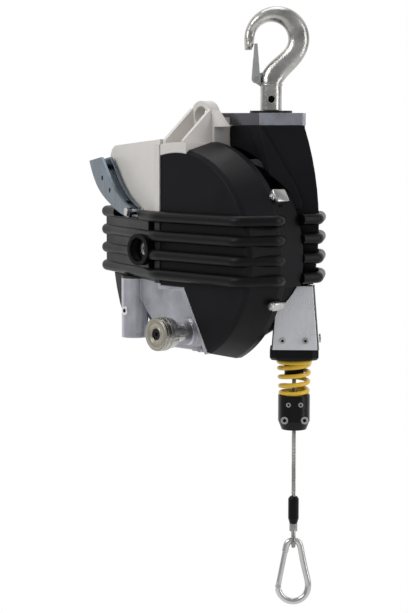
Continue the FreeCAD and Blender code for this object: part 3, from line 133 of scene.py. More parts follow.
# Tube socket, knob and preload screw
SET_SCREW = (-105.0, -95.1, -72.5)
SET_SCREW_R = 5.2
SET_SCREW_TALL = 1.6
SET_SCREW_EDGE = 0.35
SET_SOCKET_R = 2.6
SET_SOCKET_TALL = 0.14
KNOB_FACE = (-2.0, -134.95, -89.0)
KNOB_RIBS = (3.5, 9.5)          # distances of the ribs behind the knob's face
PRELOAD_SCREW = (-56.0, -104.0, 4.0)

# Stage: the two places are in millimetres as above, and the other lengths in metres
VIEW_TURN = math.radians(48.0)
VIEW_DROP = math.radians(5.9)
VIEW_FAR = 2.15
VIEW_LENS = 107.0
VIEW_PLACE = (-31.4, -34.9, 156.0)
MIDDLE = (-31.0, -35.0, -34.0)
FLOOR_Z = -2.3
WALL_BACK = 2.2
SHEET_HALF = 6.0

# Lamps about the middle, in metres: name, distance towards the camera, to the right and up, width, height
# and share of the key lamp's power
LAMPS = (
    ("key_lamp", 0.9, -1.5, 1.2, 1.0, 1.4, 1.0),
    ("side_lamp", 0.6, 1.6, 0.3, 0.5, 1.6, 0.45),
    ("top_lamp", -0.3, 0.0, 1.8, 1.2, 1.2, 0.5),
)

# Colours that no setting changes
DUST = (0.42, 0.40, 0.38, 1.0)
# Painted shade on the beam's long flanks
PAINTED_FLANK_SHADE = (0.16, 0.16, 0.18, 1.0)
# Painted shade on the casting where it lies behind the bumper's rings
PAINTED_SHADE_BEHIND_RINGS = (0.012, 0.0112, 0.0125, 1.0)
FOOT_DULL = (0.42, 0.42, 0.45, 1.0)
FOOT_BRIGHT = (0.58, 0.58, 0.62, 1.0)
CARD = (0.82, 0.82, 0.82, 1.0)
WHITE = (1.0, 1.0, 1.0, 1.0)
SKY = (0.96, 0.97, 1.0, 1.0)
FLOOR_SEEN = 0.975              # share of plain white in the floor as the camera sees it

BAND_EDGE = 0.0006              # metres over which a painted band fades
NO_SHARP_EDGE = 180.0           # degrees


def mm(length):
    """Metres from millimetres."""
    return length / 1000.0


def row(x, y, z):
    """A point in the frame's metres from millimetres about the drum's axis."""
    return Vector(((x - HOOK_X) / 1000, y / 1000, (z - BOWL_Z) / 1000))


def turned_row(x, u, v, z):
    """A point on a piece that is turned about the vertical line at x: u across, v behind."""
    across = u * math.cos(SWIVEL_TURN) - v * math.sin(SWIVEL_TURN)
    behind = u * math.sin(SWIVEL_TURN) + v * math.cos(SWIVEL_TURN)
    return row(x + across, behind, z)


def polar_row(degrees, radius, y):
    """A point at an angle and a radius about the drum's axis."""
    a = math.radians(degrees)
    return row(radius * math.cos(a), y, radius * math.sin(a))


# Shader helpers and shared effect groups


def add_node(tree, kind, settings=None, sockets=None):
    """Adds a node, sets its options and gives each socket a value or a link."""
    made = tree.nodes.new(kind)
    for key, value in (settings or {}).items():
        setattr(made, key, value)
    for key, value in (sockets or {}).items():
        if isinstance(value, bpy.types.NodeSocket):
            tree.links.new(value, made.inputs[key])
        else:
            made.inputs[key].default_value = value
    return made


def new_group(name, inputs, outputs):
    """A shader group with named float inputs and typed outputs."""
    tree = bpy.data.node_groups.new(name, "ShaderNodeTree")
    for label, default in inputs:
        socket = tree.interface.new_socket(name=label, in_out="INPUT", socket_type="NodeSocketFloat")
        socket.default_value = default
    for label, kind in outputs:
        tree.interface.new_socket(name=label, in_out="OUTPUT", socket_type=kind)
    start = tree.nodes.new("NodeGroupInput")
    end = tree.nodes.new("NodeGroupOutput")
    return tree, start, end


def object_place(tree):
    """The point on the object's own coordinates."""
    return add_node(tree, "ShaderNodeTexCoord").outputs["Object"]


def face_normal(tree):
    """The surface's normal, without any bump."""
    return add_node(tree, "ShaderNodeNewGeometry").outputs["Normal"]


def arithmetic(tree, operation, first, second=0.0):
    """One step of arithmetic on values or sockets."""
    return add_node(tree, "ShaderNodeMath", {"operation": operation}, {0: first, 1: second}).outputs[0]


def ranged(tree, value, low, high, from_low=0.3, from_high=0.7):
    """Maps a value, by default a noise, to a range."""
    sockets = {0: value, 1: from_low, 2: from_high, 3: low, 4: high}
    return add_node(tree, "ShaderNodeMapRange", None, sockets).outputs[0]


def noise(tree, place, scale, detail):
    """Soft clouds of values about 0.5."""
    sockets = {"Vector": place, "Scale": scale, "Detail": detail}
    return add_node(tree, "ShaderNodeTexNoise", None, sockets).outputs["Fac"]


def part_of(tree, vector, axis):
    """One of a vector's X, Y and Z."""
    return add_node(tree, "ShaderNodeSeparateXYZ", None, {0: vector}).outputs[axis]


def rounded_edges_group():
    """Soft normals on sharp edges, and a mask that is above 0 where an edge is worn."""
    inputs = [("Radius", 0.001), ("Wear", 0.5), ("Grit", 300.0)]
    outputs = [("Normal", "NodeSocketVector"), ("Mask", "NodeSocketFloat")]
    tree, start, end = new_group("rounded_edges", inputs, outputs)
    bevel = add_node(tree, "ShaderNodeBevel", {"samples": 4}, {"Radius": start.outputs["Radius"]})
    likeness = add_node(tree, "ShaderNodeVectorMath", {"operation": "DOT_PRODUCT"}, {
        0: bevel.outputs[0], 1: face_normal(tree)})
    bend = arithmetic(tree, "SUBTRACT", 1.0, likeness.outputs["Value"])
    rough = arithmetic(tree, "MULTIPLY", bend, noise(tree, object_place(tree), start.outputs["Grit"], 4.0))
    worn = ranged(tree, rough, 0.0, start.outputs["Wear"], 0.02, 0.12)
    tree.links.new(bevel.outputs[0], end.inputs["Normal"])
    tree.links.new(worn, end.inputs["Mask"])
    return tree


def surface_grain_group():
    """Fine grain for bumps and a slow mottling for colour and gloss."""
    inputs = [("Fine", 900.0), ("Slow", 18.0)]
    outputs = [("Height", "NodeSocketFloat"), ("Mottle", "NodeSocketFloat")]
    tree, start, end = new_group("surface_grain", inputs, outputs)
    place = object_place(tree)
    tree.links.new(noise(tree, place, start.outputs["Fine"], 3.0), end.inputs["Height"])
    tree.links.new(noise(tree, place, start.outputs["Slow"], 5.0), end.inputs["Mottle"])
    return tree


def settled_dust_group():
    """A mask for dust that lies on faces that look up."""
    tree, start, end = new_group("settled_dust", [("Amount", 0.3)], [("Mask", "NodeSocketFloat")])
    up = ranged(tree, part_of(tree, face_normal(tree), "Z"), 0.0, 1.0, 0.55, 1.0)
    spread = arithmetic(tree, "MULTIPLY", up, noise(tree, object_place(tree), 60.0, 6.0))
    tree.links.new(arithmetic(tree, "MULTIPLY", spread, start.outputs["Amount"]), end.inputs["Mask"])
    return tree


def drawn_streaks_group():
    """Long fine streaks that run along the object's Z, as on brushed or drawn metal."""
    inputs = [("Across", 900.0), ("Along", 14.0)]
    tree, start, end = new_group("drawn_streaks", inputs, [("Streak", "NodeSocketFloat")])
    across = start.outputs["Across"]
    scale = add_node(tree, "ShaderNodeCombineXYZ", None, {0: across, 1: across, 2: start.outputs["Along"]})
    place = add_node(tree, "ShaderNodeVectorMath", {"operation": "MULTIPLY"}, {
        0: object_place(tree), 1: scale.outputs[0]})
    tree.links.new(noise(tree, place.outputs[0], 1.0, 2.0), end.inputs["Streak"])
    return tree


GROUPS = {}


def build_groups():
    """Builds the shared effects once."""
    GROUPS["edges"] = rounded_edges_group()
    GROUPS["grain"] = surface_grain_group()
    GROUPS["dust"] = settled_dust_group()
    GROUPS["streaks"] = drawn_streaks_group()


def place_group(tree, key, values):
    """Places a shared group in a material, with the material's own values."""
    return add_node(tree, "ShaderNodeGroup", {"node_tree": GROUPS[key]}, values)


def mix_colour(tree, share, low, high):
    """Mixes two colours, each a value or a socket, by a mask."""
    return add_node(tree, "ShaderNodeMix", {"data_type": "RGBA"}, {0: share, 6: low, 7: high}).outputs[2]


def shade(colour, share):
    """A colour made darker or lighter, with its alpha."""
    return (colour[0] * share, colour[1] * share, colour[2] * share, 1.0)


def new_finish(name, metallic):
    """A new material with its node tree and its main shader."""
    material = bpy.data.materials.new(name)
    material.use_nodes = True
    tree = material.node_tree
    shader = tree.nodes["Principled BSDF"]
    shader.inputs["Metallic"].default_value = metallic
    return material, tree, shader


def bump(tree, height, strength, distance, normal):
    """A normal that follows small heights."""
    sockets = {"Strength": strength, "Distance": distance, "Height": height, "Normal": normal}
    return add_node(tree, "ShaderNodeBump", None, sockets).outputs[0]


def coated(name, colour, rough, fine=900.0, relief=0.0002, edge=0.0012, wear=0.4, worn=None, dust=0.25,
           specular=0.5, mottle=0.12):
    """Paint or moulded plastic: grain, mottled gloss, worn edges and a little dust."""
    material, tree, shader = new_finish(name, 0.0)
    shader.inputs["Specular IOR Level"].default_value = specular
    edges = place_group(tree, "edges", {"Radius": edge, "Wear": wear})
    grain = place_group(tree, "grain", {"Fine": fine})
    dusty = place_group(tree, "dust", {"Amount": dust})
    slow = grain.outputs["Mottle"]
    worn_tone = shade(worn, 1.0) if worn else shade(colour, 1.35)
    base = mix_colour(tree, ranged(tree, slow, 0.0, 1.0), shade(colour, 1 - mottle),
                      shade(colour, 1 + mottle))
    base = mix_colour(tree, edges.outputs["Mask"], base, worn_tone)
    base = mix_colour(tree, dusty.outputs["Mask"], base, DUST)
    relief_normal = bump(tree, grain.outputs["Height"], 0.6, relief, edges.outputs["Normal"])
    tree.links.new(base, shader.inputs["Base Color"])
    tree.links.new(ranged(tree, slow, rough - 0.06, rough + 0.08), shader.inputs["Roughness"])
    tree.links.new(relief_normal, shader.inputs["Normal"])
    return material


def bare_metal(name, colour, rough, fine=1200.0, relief=0.00006, edge=0.0008, streak=0.0, grime=0.25,
               along=14.0, metallic=1.0):
    """Bare or plated metal: mottled gloss, grime in its tone, bright edges and drawn streaks."""
    material, tree, shader = new_finish(name, metallic)
    edges = place_group(tree, "edges", {"Radius": edge, "Wear": 0.7})
    grain = place_group(tree, "grain", {"Fine": fine, "Slow": 40.0})
    lines = place_group(tree, "streaks", {"Along": along}).outputs["Streak"]
    slow = grain.outputs["Mottle"]
    base = mix_colour(tree, ranged(tree, slow, 0.0, 1.0), shade(colour, 1 - grime), shade(colour, 1.0))
    base = mix_colour(tree, ranged(tree, lines, 0.0, streak), base, shade(colour, 0.6))
    base = mix_colour(tree, edges.outputs["Mask"], base, shade(colour, 1.15))
    gloss = arithmetic(tree, "ADD", ranged(tree, slow, rough - 0.07, rough + 0.07),
                       ranged(tree, lines, -0.08 * streak, 0.12 * streak))
    height = arithmetic(tree, "ADD", grain.outputs["Height"], ranged(tree, lines, 0.0, streak * 2))
    tree.links.new(base, shader.inputs["Base Color"])
    tree.links.new(gloss, shader.inputs["Roughness"])
    tree.links.new(bump(tree, height, 0.5, relief, edges.outputs["Normal"]), shader.inputs["Normal"])
    return material


def height_band(tree, low, high):
    """1 between two heights, given in millimetres about the drum's axis, and 0 outside."""
    height = part_of(tree, object_place(tree), "Z")
    bottom = row(0, 0, low).z
    top = row(0, 0, high).z
    rise = ranged(tree, height, 0.0, 1.0, bottom, bottom + BAND_EDGE)
    fall = ranged(tree, height, 1.0, 0.0, top - BAND_EDGE, top)
    return arithmetic(tree, "MULTIPLY", rise, fall)


def beam_finish():
    """Milled metal with painted shade on its long flanks, the faces that look along Y, so that they are
    darker than its front.
    """
    material = bare_metal("milled_beam", (0.50, 0.51, 0.56), 0.34, streak=0.6, along=60.0, grime=0.4)
    tree = material.node_tree
    tone = tree.nodes["Principled BSDF"].inputs["Base Color"]
    # Painted shade: faces whose normal runs along Y are mixed towards a dark colour
    sideways = arithmetic(tree, "ABSOLUTE", part_of(tree, face_normal(tree), "Y"))
    shaded_flank = ranged(tree, sideways, 0.0, 1.0, 0.8, 0.95)
    tree.links.new(mix_colour(tree, shaded_flank, tone.links[0].from_socket, PAINTED_FLANK_SHADE), tone)
    return material


def casting_finish(colour):
    """Light paint on the hood, painted shade in near black where the casting lies behind the rings, and bare
    silver metal on the machined foot below.
    """
    material = coated("grey_casting_paint", colour, 0.40, fine=500.0, relief=0.0004, edge=0.002, wear=0.3,
                      dust=0.05, mottle=0.04)
    tree = material.node_tree
    sockets = tree.nodes["Principled BSDF"].inputs
    tone = sockets["Base Color"]
    gloss = sockets["Roughness"]
    foot = height_band(tree, FOOT_LOW, FOOT_TOP)
    shade_behind_rings = height_band(tree, RINGS_LOW, RINGS_TOP)
    slow = place_group(tree, "grain", {"Fine": 700.0, "Slow": 45.0}).outputs["Mottle"]
    metal = mix_colour(tree, ranged(tree, slow, 0.0, 1.0), FOOT_DULL, FOOT_BRIGHT)
    # Painted shade: the casting is near black between the rings' heights
    painted = mix_colour(tree, shade_behind_rings, tone.links[0].from_socket, PAINTED_SHADE_BEHIND_RINGS)
    rough = add_node(tree, "ShaderNodeMix", {"data_type": "FLOAT"}, {
        0: foot, 2: gloss.links[0].from_socket, 3: ranged(tree, slow, 0.24, 0.38)})
    tree.links.new(mix_colour(tree, foot, painted, metal), tone)
    tree.links.new(rough.outputs[0], gloss)
    tree.links.new(foot, sockets["Metallic"])
    return material


FINISHES = {}


def build_metals():
    """The bare and plated metals, by material slot, and the knob's own."""
    FINISHES["forged_steel"] = bare_metal("nickel_forging", (0.62, 0.61, 0.58), 0.24, fine=500.0,
                                          relief=0.0005, edge=0.0012, grime=0.55)
    FINISHES["latch_steel"] = bare_metal("plated_sheet", (0.66, 0.66, 0.65), 0.22, edge=0.0005, streak=0.2)
    FINISHES["beam_metal"] = beam_finish()
    FINISHES["steel"] = bare_metal("bright_steel", (0.58, 0.575, 0.56), 0.24, streak=0.35, grime=0.4)
    FINISHES["knob_face"] = bare_metal("turned_knob", (0.47, 0.44, 0.35), 0.36, streak=0.2, grime=0.2)
    FINISHES["spring_steel"] = bare_metal("blued_steel", (0.20, 0.22, 0.27), 0.3, streak=0.4)
    FINISHES["wire_rope"] = bare_metal("rope_wire", (0.42, 0.415, 0.40), 0.24, grime=0.6)
    FINISHES["plate_silver"] = bare_metal("silver_sheet", (0.93, 0.93, 0.95), 0.3, streak=0.15, along=8.0,
                                          grime=0.1, metallic=0.5)
    FINISHES["lever_blue"] = bare_metal("zinc_lever", (0.20, 0.245, 0.29), 0.24, edge=0.0009, streak=0.8,
                                        grime=0.6, along=40.0)
    FINISHES["bronze"] = bare_metal("bush_bronze", (0.55, 0.38, 0.18), 0.35)


def build_coatings(settings):
    """The paints, lacquers, mouldings and rubber, by material slot, and the painted shade of a recess."""
    FINISHES["black_steel"] = coated("blackened_steel", (0.006, 0.006, 0.007), 0.36, wear=0.5,
                                     worn=(0.08, 0.08, 0.09), dust=0.02, specular=0.25)
    FINISHES["cast_light"] = casting_finish(settings.casting_colour)
    FINISHES["black_cover"] = coated("black_moulding", settings.cover_colour, 0.34, fine=1400.0,
                                     relief=0.00012, edge=0.0018, wear=0.12, dust=0.01, specular=0.11)
    FINISHES["rubber"] = coated("bumper_rubber", (0.0045, 0.004, 0.0042), 0.36, fine=1000.0, edge=0.001,
                                wear=0.05, dust=0.01, specular=0.16)
    FINISHES["yellow_spring"] = coated("yellow_lacquer", settings.spring_colour, 0.26, fine=800.0,
                                       relief=0.0001, edge=0.0006, worn=(0.6, 0.42, 0.1), dust=0.0)
    FINISHES["clamp_black"] = coated("black_lacquer", (0.0045, 0.0045, 0.005), 0.26, relief=0.0001,
                                     edge=0.0007, wear=0.3, worn=(0.05, 0.05, 0.06), dust=0.01, specular=0.2)
    # Painted shade: a near black finish for the discs and the plug that stand in sockets and holes
    FINISHES["painted_recess_shade"] = coated("painted_recess_shade", (0.003, 0.003, 0.003), 0.6, wear=0.0, dust=0.0,
                                     specular=0.1)


def paint(obj, finish):
    """Gives an object one finish."""
    obj.data.materials.clear()
    obj.data.materials.append(finish)


def dress_nodes():
    """Gives every CAD node the finish of its material slot."""
    for part in frame["record"]["subparts"]:
        paint(frame["nodes"][part["node"]], FINISHES[part["material_slot"]])


# Mesh helpers


def finish_mesh(work, name, slot, body, smooth=40.0, finish=None):
    """Turns a bmesh into a piece that takes one slot's finish, or its own, and rides on a body."""
    bmesh.ops.recalc_face_normals(work, faces=work.faces)
    mesh = bpy.data.meshes.new(name)
    work.to_mesh(mesh)
    work.free()
    for face in mesh.polygons:
        face.use_smooth = True
    mesh.set_sharp_from_angle(angle=math.radians(smooth))
    piece = bpy.data.objects.new(name, mesh)
    bpy.context.scene.collection.objects.link(piece)
    paint(piece, FINISHES[finish or slot])
    if body:
        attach(piece, body)
    return piece


def axis_matrix(spot, way):
    """Puts a shape drawn about Z at a spot, with its Z along a direction."""
    turn = Vector(way).normalized().to_track_quat("Z", "Y").to_matrix().to_4x4()
    return Matrix.Translation(spot) @ turn


def add_disc(work, radius, depth, sides, matrix, bevel=0.0):
    """A short closed cylinder from z = 0 to z = depth, with its rims rounded, moved by a matrix."""
    old = set(work.verts)
    made = bmesh.ops.create_cone(work, cap_ends=True, segments=sides, radius1=radius, radius2=radius,
                                 depth=depth)
    bmesh.ops.translate(work, vec=(0, 0, depth / 2), verts=made["verts"])
    if bevel:
        fresh = [edge for edge in work.edges if edge.verts[0] not in old]
        rims = [edge for edge in fresh if abs(edge.verts[0].co.z - edge.verts[1].co.z) < 1e-9]
        bmesh.ops.bevel(work, geom=rims, offset=bevel, offset_type="OFFSET", segments=2, profile=0.5,
                        affect="EDGES", material=-1)
    bmesh.ops.transform(work, matrix=matrix, verts=[v for v in work.verts if v not in old])


def add_ring(work, profile, matrix, steps):
    """Turns a closed profile of (radius, height) pairs, in millimetres, full circle about Z."""
    old = set(work.verts)
    line = [work.verts.new((mm(r), 0, mm(z))) for r, z in profile]
    edges = [work.edges.new((a, b)) for a, b in zip(line, line[1:] + line[:1])]
    bmesh.ops.spin(work, geom=line + edges, cent=(0, 0, 0), axis=(0, 0, 1), angle=2 * math.pi, steps=steps,
                   use_merge=True)
    bmesh.ops.transform(work, matrix=matrix, verts=[v for v in work.verts if v not in old])


def carried_frames(points):
    """Each point with two directions across the line there, carried along so that they don't twist."""
    side = None
    for i, spot in enumerate(points):
        way = (points[min(i + 1, len(points) - 1)] - points[max(i - 1, 0)]).normalized()
        if side is None:
            side = way.orthogonal().normalized()
        side = (side - way * side.dot(way)).normalized()
        yield spot, side, way.cross(side)


def add_rod(work, points, radius, sides):
    """A round bar along points: one ring of vertices at each, bridged to the next, with closed ends."""
    turns = [2 * math.pi * k / sides for k in range(sides)]
    rings = []
    for spot, side, other in carried_frames(points):
        places = [spot + side * math.cos(a) * radius + other * math.sin(a) * radius for a in turns]
        rings.append([work.verts.new(place) for place in places])
    loops = [[work.edges.new(pair) for pair in zip(ring, ring[1:] + ring[:1])] for ring in rings]
    for near, far in zip(loops, loops[1:]):
        bmesh.ops.bridge_loops(work, edges=near + far)
    for ring in (rings[0], rings[-1]):
        work.faces.new(ring)


# Wire rope


def helix(spots, radius, phase, pitch):
    """Points of one strand that winds round a line of closely spaced points."""
    made = []
    walked = 0.0
    before = spots[0]
    for spot, side, other in carried_frames(spots):
        walked += (spot - before).length
        before = spot
        a = phase + 2 * math.pi * walked / pitch
        made.append(spot + side * math.cos(a) * radius + other * math.sin(a) * radius)
    return made


def rope_spots(route):
    """Closely spaced points on the smooth line that the rope takes along its route."""
    curve = bpy.data.curves.new("route", "CURVE")
    curve.dimensions = "3D"
    curve.resolution_u = 24
    line = curve.splines.new("NURBS")
    line.points.add(len(route) - 1)
    for point, spot in zip(line.points, route):
        point.co = (*spot, 1.0)
    line.order_u = 3
    line.use_endpoint_u = True
    holder = bpy.data.objects.new("route", curve)
    bpy.context.scene.collection.objects.link(holder)
    bpy.context.view_layer.update()
    mesh = bpy.data.meshes.new_from_object(holder)
    raw = [v.co.copy() for v in mesh.vertices]
    bpy.data.objects.remove(holder)
    bpy.data.meshes.remove(mesh)
    spots = [raw[0]]
    for a, b in zip(raw, raw[1:]):
        parts = max(1, round((b - a).length / mm(POINT_GAP)))
        spots += [a.lerp(b, (k + 1) / parts) for k in range(parts)]
    return spots


def add_strands(work, spots, radius, strands):
    """Round strands laid side by side round a core."""
    fine = radius / (1 + 1 / math.sin(math.pi / strands))
    lay = radius - fine
    for k in range(strands):
        strand = helix(spots, lay, 2 * math.pi * k / strands, mm(STRAND_PITCH))
        add_rod(work, strand, fine * STRAND_SWELL, STRAND_SIDES)
    add_rod(work, spots, lay - fine * CORE_GAP, STRAND_SIDES)


def rope_row(z):
    """A point on the rope's line."""
    return row(ROPE_X, 0, z)


def rope_above_clamp(strands):
    """The stretch from the drum to the clamp, which on the real balancer grows as the rope is drawn out;
    here it is laid at rest and rides on no body.
    """
    route = [rope_row(z) for z in (ROPE_TOP, ROPE_IN_GUIDE, CLAMP_TOP)]
    work = bmesh.new()
    add_strands(work, rope_spots(route), mm(ROPE_R), strands)
    rope = finish_mesh(work, "rope_above_clamp", "wire_rope", None, NO_SHARP_EDGE)
    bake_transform(rope)
    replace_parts(rope, "rope_run")


def rope_below_clamp(strands):
    """The stretch from the clamp to the sleeve."""
    bottom = SLEEVE_LOW + ROPE_SHORT_OF_SLEEVE_END
    route = [rope_row(z) for z in (CLAMP_LOW + ROPE_IN_CLAMP, ROPE_BELOW_CLAMP, bottom)]
    spots = rope_spots(route)
    work = bmesh.new()
    add_strands(work, spots, mm(ROPE_R), strands)
    rope = finish_mesh(work, "rope_below_clamp", "wire_rope", "rope_end", NO_SHARP_EDGE)
    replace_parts(rope, "rope_drop")


# Small parts that the CAD leaves plain


def clamp_sockets():
    """Hexagon sockets in the clamp's screw heads, drawn as thin dark discs of painted shade."""
    work = bmesh.new()
    way = turned_row(0, 0, -1, 0) - turned_row(0, 0, 0, 0)
    for half, z, radius in CLAMP_SCREWS:
        for u in (-half, half):
            face = axis_matrix(turned_row(ROPE_X, u, -CLAMP_SCREW_FACE, z), way)
            add_disc(work, mm(radius * CLAMP_SOCKET_SHARE), mm(SOCKET_TALL), 6, face)
    finish_mesh(work, "clamp_socket_shade_discs", "clamp_black", "rope_end", finish="painted_recess_shade")


def guide_sockets():
    """Hexagon sockets in the screws of the guide's slanting plates, drawn as thin dark discs of painted
    shade.
    """
    work = bmesh.new()
    for side in (-1, 1):
        for near in GUIDE_SCREW_PLACES:
            reach = GUIDE_HALF - 1 - near
            way = Vector((1, side, 0)).normalized()
            spot = row(ROPE_X + near + 2, side * (reach + 2), GUIDE_SCREW_Z) + way * mm(GUIDE_SCREW_FACE)
            add_disc(work, mm(GUIDE_SOCKET_R), mm(SOCKET_TALL), 6, axis_matrix(spot, way))
    finish_mesh(work, "guide_socket_shade_discs", "black_cover", "frame", finish="painted_recess_shade")


def shank_details():
    """A dark plug of painted shade in the middle of the shank's cross hole, and the collar under the hook.
    """
    work = bmesh.new()
    way = turned_row(0, 0, 1, 0) - turned_row(0, 0, 0, 0)
    start = turned_row(HOOK_X, 0, -SHANK_HOLE_DEEP / 2, SHANK_HOLE_Z)
    add_disc(work, mm(SHANK_HOLE_R), mm(SHANK_HOLE_DEEP), 40, axis_matrix(start, way))
    finish_mesh(work, "shank_hole_shade_plug", "forged_steel", "hook", finish="painted_recess_shade")
    work = bmesh.new()
    collar = [(12.2, -0.8), (13.0, -0.8), (13.3, -0.4), (13.3, 0.8), (13.0, 1.2), (12.2, 1.2)]
    add_ring(work, collar, axis_matrix(row(HOOK_X, 0, SHANK_COLLAR_Z), (0, 0, 1)), 96)
    finish_mesh(work, "shank_collar", "forged_steel", "hook")


def joint_blocks():
    """The two bright feet that pull the housing together, with their screws' heads."""
    blocks = bmesh.new()
    heads = bmesh.new()
    forwards = (0, -1, 0)
    for degrees, low, high, front, back, tall in JOINT_FEET:
        reach = (low + high) / 2
        turn = Matrix.Rotation(-math.radians(degrees), 4, "Y")
        size = Matrix.Diagonal((mm(high - low), mm(back - front), mm(tall), 1.0))
        spot = Matrix.Translation(polar_row(degrees, reach, (front + back) / 2))
        corners = bmesh.ops.create_cube(blocks, size=1.0, matrix=spot @ turn @ size)["verts"]
        edges = [edge for edge in blocks.edges if edge.verts[0] in corners]
        bmesh.ops.bevel(blocks, geom=edges, offset=mm(FOOT_EDGE), offset_type="OFFSET", segments=3,
                        profile=0.5, affect="EDGES", material=-1)
        head = axis_matrix(polar_row(degrees, reach, front + FOOT_SCREW_SUNK), forwards)
        hexagon = axis_matrix(polar_row(degrees, reach, front - FOOT_HEXAGON_OUT), forwards)
        add_disc(heads, mm(FOOT_SCREW_R), mm(FOOT_SCREW_TALL), 40, head, mm(FOOT_SCREW_EDGE))
        add_disc(heads, mm(FOOT_HEXAGON_R), mm(FOOT_HEXAGON_TALL), 6, hexagon)
    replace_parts(finish_mesh(blocks, "joint_blocks", "steel", "frame"), "joint_lugs")
    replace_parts(finish_mesh(heads, "joint_screw_heads", "steel", "frame"), "joint_screws")


def spring_line(low, high):
    """Points of the buffer spring about the rope, wider at the top, with its end turns lying flat."""
    points = []
    steps = int(SPRING_TURNS * SPRING_STEPS)
    for i in range(steps + 1):
        turn = SPRING_TURNS * i / steps
        rise = min(1.0, max(0.0, (turn - SPRING_FLAT) / (SPRING_TURNS - 2 * SPRING_FLAT)))
        r = SPRING_LOW_R + (SPRING_TOP_R - SPRING_LOW_R) * turn / SPRING_TURNS
        a = 2 * math.pi * turn
        points.append(turned_row(ROPE_X, r * math.cos(a), r * math.sin(a), low + (high - low) * rise))
    return points


def buffer_spring(settings):
    """The heavy yellow buffer spring and the black tube inside its top."""
    wire = settings.spring_wire / 2
    low = CLAMP_TOP + wire * 1000 + SPRING_CLEAR
    high = GUIDE_LOW - SPRING_TOP_CLEAR - wire * 1000
    work = bmesh.new()
    add_rod(work, spring_line(low, high), wire, SPRING_SIDES)
    coil = finish_mesh(work, "buffer_spring_coil", "yellow_spring", "rope_end", NO_SHARP_EDGE)
    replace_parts(coil, "buffer_spring")
    work = bmesh.new()
    tube = [(TUBE_HOLE_R, 0.0), (TUBE_R, 0.0), (TUBE_R, TUBE_LONG - 1), (TUBE_R - 0.6, TUBE_LONG),
            (TUBE_HOLE_R, TUBE_LONG)]
    add_ring(work, tube, axis_matrix(rope_row(GUIDE_LOW + TUBE_SUNK), (0, 0, -1)), 64)
    finish_mesh(work, "buffer_tube", "black_cover", "frame")


def set_screw():
    """The set screw in the tube socket's side, with its socket drawn as a thin dark disc of painted shade.
    """
    way = Vector((0, -1, 0))
    x, y, z = SET_SCREW
    work = bmesh.new()
    place = axis_matrix(row(x, y, z), way)
    add_disc(work, mm(SET_SCREW_R), mm(SET_SCREW_TALL), 40, place, mm(SET_SCREW_EDGE))
    finish_mesh(work, "socket_set_screw", "steel", "frame", finish="plate_silver")
    work = bmesh.new()
    place = axis_matrix(row(x, y - SET_SCREW_TALL, z), way)
    add_disc(work, mm(SET_SOCKET_R), mm(SET_SOCKET_TALL), 6, place)
    finish_mesh(work, "set_screw_socket_shade", "steel", "frame", finish="painted_recess_shade")


def knob_turnings():
    """The turned groove on the knob's face and the ribs round its rim."""
    work = bmesh.new()
    face = [(7.3, 0.0), (7.3, 0.5), (8.6, 0.5), (8.9, 0.25), (9.8, 0.25), (10.1, 0.5), (17.0, 0.5),
            (17.8, 0.0)]
    place = axis_matrix(row(*KNOB_FACE), (0, -1, 0))
    add_ring(work, face, place, 96)
    for back in KNOB_RIBS:
        rib = [(18.9, -back - 1.1), (19.35, -back - 0.8), (19.35, -back + 0.8), (18.9, -back + 1.1)]
        add_ring(work, rib, place, 96)
    finish_mesh(work, "knob_turnings", "steel", "plunger", finish="knob_face")


def preload_collar():
    """The bright collar round the preload screw's hexagon."""
    work = bmesh.new()
    collar = [(6.6, 0.0), (6.6, 0.55), (7.3, 0.75), (10.2, 0.75), (10.8, 0.4), (10.8, 0.0)]
    add_ring(work, collar, axis_matrix(row(*PRELOAD_SCREW), (0, -1, 0)), 64)
    finish_mesh(work, "adjuster_collar", "steel", "adjuster")


# Stage


def area_lamp(name, spot, aim, width, height, power):
    """A soft rectangular lamp that points at a place."""
    data = bpy.data.lights.new(name, "AREA")
    data.shape = "RECTANGLE"
    data.size = width
    data.size_y = height
    data.energy = power
    lamp = bpy.data.objects.new(name, data)
    lamp.location = spot
    lamp.rotation_euler = (aim - spot).to_track_quat("-Z", "Y").to_euler()
    bpy.context.scene.collection.objects.link(lamp)


def mix_shaders(tree, share, first, second):
    """The first shader where the share is 0, and the second where it is 1."""
    return add_node(tree, "ShaderNodeMixShader", None, {0: share, 1: first, 2: second}).outputs[0]


def backdrop_finish(name, seen):
    """A pale surface, clear from behind. The camera and reflections see a share of it as plain white."""
    material, tree, shader = new_finish(name, 0.0)
    shader.inputs["Base Color"].default_value = CARD
    shader.inputs["Roughness"].default_value = 0.9
    glow = add_node(tree, "ShaderNodeEmission", None, {"Color": WHITE, "Strength": 1.0}).outputs[0]
    clear = add_node(tree, "ShaderNodeBsdfTransparent").outputs[0]
    rays = add_node(tree, "ShaderNodeLightPath").outputs
    straight = arithmetic(tree, "MAXIMUM", rays["Is Camera Ray"], rays["Is Glossy Ray"])
    front = mix_shaders(tree, arithmetic(tree, "MULTIPLY", straight, seen), shader.outputs[0], glow)
    behind = add_node(tree, "ShaderNodeNewGeometry").outputs["Backfacing"]
    tree.links.new(mix_shaders(tree, behind, front, clear), tree.nodes["Material Output"].inputs["Surface"])
    return material


def build_world(strength):
    """Light from all round, and plain white where the camera looks past the sheets."""
    world = bpy.data.worlds.new("studio")
    world.use_nodes = True
    tree = world.node_tree
    sky = tree.nodes["Background"]
    sky.inputs["Color"].default_value = SKY
    sky.inputs["Strength"].default_value = strength
    white = add_node(tree, "ShaderNodeBackground", None, {"Color": WHITE, "Strength": 1.0}).outputs[0]
    to_camera = add_node(tree, "ShaderNodeLightPath").outputs["Is Camera Ray"]
    shown = mix_shaders(tree, to_camera, sky.outputs[0], white)
    tree.links.new(shown, tree.nodes["World Output"].inputs["Surface"])
    bpy.context.scene.world = world


